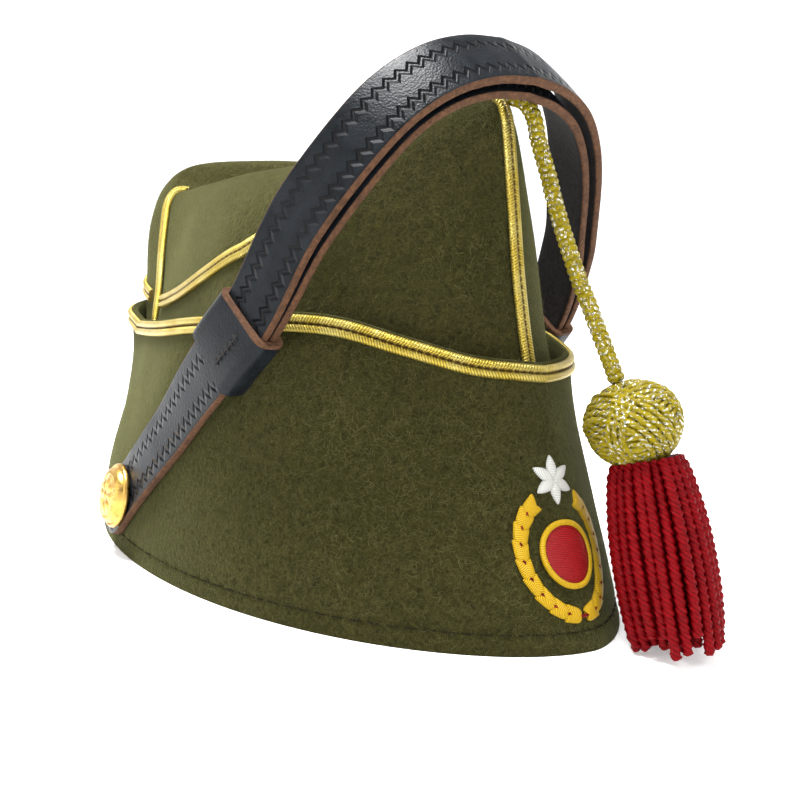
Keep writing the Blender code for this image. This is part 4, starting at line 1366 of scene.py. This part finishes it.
def build_button(name, node, side):
    body = bmesh.new()
    profile = [(share, 0.62 * BUTTON_DOME * sqrt(1 - (share / 0.99) ** 2) + 0.0016)
               for share in np.linspace(0, 0.84, 27)]
    profile += [(0.865, 0.0016), (0.88, 0.0015), (0.90, 0.0016), (0.93, 0.0019), (0.96, 0.0018),
                (0.985, 0.0015), (1.0, 0.0011), (1.0, 0.0006), (0.985, 0.0002), (0.95, 0.0), (0.0, 0.0)]
    spin_profile(body, [(share * BUTTON_DIAMETER / 2, height) for share, height in profile], 96)
    for vert in body.verts:
        if vert.co.z > 0.0014:
            reach = vert.co.xy.length / (BUTTON_DIAMETER / 2)
            vert.co.z += button_relief(reach, atan2(vert.co.y, vert.co.x))
    centre, width, face = (Vector(v[0]) for v in strap_frames(side, np.array([BUTTON_STATION / STRAP_STEPS])))
    turn = Matrix((width, face.cross(width), face)).transposed().to_4x4()
    place = Matrix.Translation(centre + face * (STRAP_THICKNESS / 2 + TOUCH_GAP))
    bmesh.ops.transform(body, matrix=place @ turn, verts=body.verts)
    return new_piece(name, body, [brass], node, sharp=50)


build_button("button_face_right", "button_right", RIGHT)
build_button("button_face_left", "button_left", LEFT)
print("Buttons", BUTTON_DIAMETER, "m across")

# %% [markdown]
# Badge. It is embroidered on the curtain's front: a wreath of leaves round a red field, with a white star
# over its opening. Flat shapes would cut through the bent cloth, so each point is laid on the curtain by
# one place function, which reads a small grid of the surface that is worked out once.

# %% Badge grid
BADGE_ACROSS = -0.0035
BADGE_MIDDLE_HEIGHT = 0.0295
BADGE_DROP = -0.110 * BADGE_HEIGHT
WREATH_RADIUS = 0.330 * BADGE_HEIGHT
FIELD_RADIUS = 0.190 * BADGE_HEIGHT


def front_surface(across, height):
    """Point and outward direction on the curtain's front, across measured round the cloth."""
    side = np.where(across > 0, LEFT, RIGHT)
    goal = np.abs(across)
    start = curtain_point(side, 0 * goal, height / CURTAIN_HEIGHT, 1.0)

    def near(along):
        point = curtain_point(side, along, height / curtain_height(along), 1.0)
        return np.linalg.norm(point - start, axis=-1) < goal
    along = halve(np.zeros_like(goal), np.full_like(goal, 0.45), 18, near)
    return curtain_at_height(side, along, height)


PATCH_STEP = 0.001
PATCH_ACROSS = np.arange(-0.026, 0.0205, PATCH_STEP)
PATCH_HEIGHT = np.arange(0.0, 0.0565, PATCH_STEP)
patch_points, patch_outward = front_surface(*np.meshgrid(PATCH_ACROSS, PATCH_HEIGHT))


def badge_place(u, w, proud):
    """Places on the curtain's front: u across and w up from the badge's centre, proud of the cloth."""
    u, w, proud = arrays(u, w, proud)
    column = (BADGE_ACROSS + u - PATCH_ACROSS[0]) / PATCH_STEP
    row = (BADGE_MIDDLE_HEIGHT + w - PATCH_HEIGHT[0]) / PATCH_STEP
    c = np.clip(np.floor(column).astype(int), 0, len(PATCH_ACROSS) - 2)
    r = np.clip(np.floor(row).astype(int), 0, len(PATCH_HEIGHT) - 2)
    x = (column - c)[..., None]
    y = (row - r)[..., None]

    def read(grid):
        low = grid[r, c] * (1 - x) + grid[r, c + 1] * x
        high = grid[r + 1, c] * (1 - x) + grid[r + 1, c + 1] * x
        return low * (1 - y) + high * y
    return read(patch_points) + unit(read(patch_outward)) * (TOUCH_GAP * 0.5 + proud)[..., None]


print("Badge patch", patch_points.shape[:2])


# %% Satin stitch
def embroider(body, base, tip, width, lift, bend=0.0, steps=16, sides=9, belly=0.62):
    """One satin-stitched leaf or bar from base to tip, widest at its belly. Lengths are in metres."""
    base = np.asarray(base, float)
    tip = np.asarray(tip, float)
    span = tip - base
    length = np.linalg.norm(span)
    run = span / length
    over = np.array([-run[1], run[0]])
    t = np.linspace(0, 1, steps)
    half = width / 2 * np.sin(pi * t ** belly) ** 0.8 + width * 0.04
    middle = base + run * (t * length)[:, None] + over * (bend * np.sin(pi * t))[:, None]
    s = np.linspace(-1, 1, sides)
    u = middle[:, None, 0] + over[0] * half[:, None] * s
    w = middle[:, None, 1] + over[1] * half[:, None] * s
    top = lift * (1 - s ** 2)[None, :] ** 0.5 * (half / half.max())[:, None] ** 0.5 + 0.0001
    upper = badge_place(u, w, top)
    lower = badge_place(u, w, 0 * top - 0.0002)
    points = np.concatenate([upper, lower[:, ::-1]], axis=1)
    skin(body, points, u=list(s * width / 2) + list(s[::-1] * width / 2) + [s[0] * width / 2],
         v=list(t * length), wrap_columns=True, caps=True)


print("Satin stitch ready")

# %% Wreath
def build_wreath():
    body = bmesh.new()
    opening = radians(34)
    leaves = 9
    for half in (-1, 1):
        for k in range(leaves):
            angle = pi - (pi - opening) * (k + 0.25) / leaves
            ahead = angle - (pi - opening) / leaves * 1.15
            base = (half * WREATH_RADIUS * sin(angle), WREATH_RADIUS * cos(angle) * 1.10 + BADGE_DROP)
            for offset, bend in ((0.86, -0.0006), (1.14, 0.0006)):
                reach = WREATH_RADIUS * offset
                tip = (half * reach * sin(ahead), reach * cos(ahead) * 1.10 + BADGE_DROP)
                embroider(body, base, tip, BADGE_HEIGHT * 0.082, 0.0009, bend=half * bend)
    swap_uv(body)
    return new_piece("badge_wreath_leaves", body, [yellow_satin], "badge_wreath")


def build_stem():
    body = bmesh.new()
    angle = np.linspace(radians(38), 2 * pi - radians(38), 90)
    height = WREATH_RADIUS * np.cos(angle) * 1.10 + BADGE_DROP
    line = badge_place(WREATH_RADIUS * np.sin(angle), height, 0.0004)
    tube(body, line, 0.0005, sides=6)
    return new_piece("badge_stem", body, [red_satin], None)


wreath_piece = build_wreath()
build_stem()
print("Wreath faces", len(wreath_piece.data.polygons))

# %% Field
def build_field():
    angle = np.arange(48) * 2 * pi / 48
    share = np.array([0.04, 0.3, 0.6, 0.85, 0.97, 1.0])
    lift = np.array([0.0010, 0.0010, 0.00095, 0.0008, 0.0004, -0.0002])
    u = FIELD_RADIUS * share[:, None] * np.sin(angle)
    w = FIELD_RADIUS * share[:, None] * np.cos(angle) + BADGE_DROP
    points = badge_place(u, w, lift[:, None])
    body = bmesh.new()
    rows = skin(body, points, wrap_columns=True, caps=True)
    layer = body.loops.layers.uv.verify()
    places = {}
    for i, row in enumerate(rows):
        for j, vert in enumerate(row):
            places[vert] = (float(w[i, j]), float(u[i, j]))
    for face in body.faces:
        for loop in face.loops:
            loop[layer].uv = places[loop.vert]
    return new_piece("badge_field_stitches", body, [red_satin], "badge_field")


build_field()
print("Field embroidered")


# %% Ring and star
def build_field_ring():
    body = bmesh.new()
    angle = np.linspace(0, 2 * pi, 97)
    line = badge_place(FIELD_RADIUS * np.sin(angle), FIELD_RADIUS * np.cos(angle) + BADGE_DROP, 0.0004)
    tube(body, line, 0.00085, sides=8)
    swap_uv(body)
    for k in range(5):
        x = (k - 2) * FIELD_RADIUS * 0.26
        reach = FIELD_RADIUS * (0.50 - 0.06 * abs(k - 2))
        embroider(body, (x, BADGE_DROP - reach), (x, BADGE_DROP + reach), 0.0016, 0.0006, belly=1.0)
    return new_piece("badge_field_ring", body, [yellow_satin], None)


def build_star():
    body = bmesh.new()
    middle = (0.0, BADGE_HEIGHT * 0.340)
    reach = BADGE_HEIGHT * 0.150
    for k in range(6):
        angle = pi / 3 * k
        tip = (middle[0] + reach * sin(angle), middle[1] + reach * cos(angle))
        embroider(body, middle, tip, reach * 0.46, 0.0009, belly=0.8, steps=12)
    swap_uv(body)
    return new_piece("badge_star_rays", body, [white_satin], "badge_star")


build_field_ring()
build_star()
print("Badge embroidered")

# %% [markdown]
# Loose fibres. Short fibres stand off the felt and soften its outline. Hair strands would be lost in the
# export, so each fibre is a narrow ribbon of three quads, rooted on the surface and bent a little.

# %% Fibre ribbons
FIBRE_FLOOR = 0.0004


def scatter_fibres(name, surface, count, seed):
    dice = np.random.RandomState(seed)
    root, outward = surface(dice, count)
    along = unit(np.cross(outward, dice.normal(size=(count, 3))))
    other = np.cross(outward, along)
    length = dice.uniform(0.0010, 0.0032, count) * np.where(dice.random_sample(count) < 0.06, 1.8, 1.0)
    curl = dice.uniform(-1.2, 1.2, count)
    lift = dice.uniform(0.12, 0.55, count) * length * 0.6
    wide = dice.uniform(0.000022, 0.000050, count)
    rows = []
    for t in (0.0, 0.35, 0.7, 1.0):
        heading = along * np.cos(curl * t)[:, None] + other * np.sin(curl * t)[:, None]
        rise = lift * sin(pi * t * 0.72) + 0.00005
        place = root + heading * (length * t)[:, None] + outward * rise[:, None]
        across = np.cross(heading, outward) * (wide * (1.0 - 0.75 * t))[:, None]
        rows.append((place - across, place + across))
    for low, high in rows:
        low[:, 2] = np.maximum(low[:, 2], FIBRE_FLOOR)
        high[:, 2] = np.maximum(high[:, 2], FIBRE_FLOOR)
    body = bmesh.new()
    for i in range(count):
        pairs = [(body.verts.new(low[i]), body.verts.new(high[i])) for low, high in rows]
        for (a, b), (c, d) in zip(pairs, pairs[1:]):
            body.faces.new((a, b, d, c))
    return new_piece(name, body, [fibre], None)


print("Fibre ribbons ready")


# %% Fibre places
def on_crown(dice, count):
    side = np.where(dice.random_sample(count) < 0.5, RIGHT, LEFT)
    along = dice.random_sample(count)
    row = 3.3 + 5.6 * dice.random_sample(count)
    return crown_point(side, along, row), crown_outward(side, along, np.minimum(row, RIDGE_ROW + 0.5))


def on_curtain(dice, count):
    side = np.where(dice.random_sample(count) < 0.5, RIGHT, LEFT)
    along = dice.random_sample(count)
    share = dice.random_sample(count)
    row = row_at_height(side, along, share * curtain_height(along))
    return curtain_point(side, along, share, 1.0), crown_outward(side, along, row)


CROWN_FIBRES = 15000
CURTAIN_FIBRES = 20000
fibre_share = 1.0
scatter_fibres("crown_fibres", on_crown, int(CROWN_FIBRES * fibre_share), 3)
scatter_fibres("curtain_fibres", on_curtain, int(CURTAIN_FIBRES * fibre_share), 5)
print("Fibres scattered, share", fibre_share)

# %% [markdown]
# Floor and light. The cap stands on a pale floor that rises all round into a low wall, so that no edge of
# it shows near the cap. One large soft light hangs overhead, where the gloss on the strap's arch says it
# was, and two weaker ones fill the front and the right side.

# %% Floor
FLOOR_RADIUS = 1.6
FLOOR_CURVE = 0.6
WALL_HEIGHT = 1.3


def build_floor():
    body = bmesh.new()
    profile = [(0.0, 0.0), (0.5, 0.0), (FLOOR_RADIUS, 0.0)]
    for angle in np.radians(np.linspace(7.5, 90, 12)):
        profile.append((FLOOR_RADIUS + FLOOR_CURVE * sin(angle), FLOOR_CURVE - FLOOR_CURVE * cos(angle)))
    profile.append((FLOOR_RADIUS + FLOOR_CURVE, WALL_HEIGHT))
    spin_profile(body, profile, 72)
    bmesh.ops.recalc_face_normals(body, faces=body.faces)
    middle = min(body.faces, key=lambda one: one.calc_center_median().length)
    if middle.normal.z < 0:
        bmesh.ops.reverse_faces(body, faces=body.faces)
    mesh = bpy.data.meshes.new("floor")
    body.to_mesh(mesh)
    body.free()
    mesh.shade_smooth()
    material, tree, shader = new_material("pale floor", (0.86, 0.86, 0.86), 0.75, Specular_IOR_Level=0.2,
                                          Emission_Color=(1, 1, 1, 1), Emission_Strength=0.30)
    colour = mix_colours(tree, noise(tree, object_place(tree), 3, 2), (0.85, 0.85, 0.85), (0.88, 0.88, 0.88))
    feed(shader, "Base Color", colour)
    mesh.materials.append(material)
    floor = bpy.data.objects.new("floor", mesh)
    bpy.context.scene.collection.objects.link(floor)
    return floor


print("Floor faces", len(build_floor().data.polygons))


# %% Lights
def add_light(name, place, aim, size, power):
    data = bpy.data.lights.new(name, "AREA")
    data.shape = "DISK"
    data.size = size
    data.energy = power
    light = bpy.data.objects.new(name, data)
    light.location = place
    light.rotation_euler = (Vector(aim) - Vector(place)).to_track_quat("-Z", "Y").to_euler()
    bpy.context.scene.collection.objects.link(light)


# Columns: name, place, aim, size in metres, power in watts.
LIGHTS = (
    ("key", (-0.18, 0.24, 1.25), (0, 0, 0.08), 0.60, 50.0),
    ("front fill", (0.05, -0.85, 0.95), (0, 0, 0.06), 0.5, 6.0),
    ("side fill", (-1.0, 0.35, 0.55), (0, 0, 0.08), 0.7, 2.5),
)
for light in LIGHTS:
    add_light(*light)

world = bpy.data.worlds.new("studio")
bpy.context.scene.world = world
world.use_nodes = True
world.node_tree.nodes["Background"].inputs["Color"].default_value = (1, 1, 1, 1)
world.node_tree.nodes["Background"].inputs["Strength"].default_value = 0.50
bpy.context.scene.view_settings.view_transform = "Standard"
bpy.context.scene.view_settings.look = "None"
print("Lights and floor set")
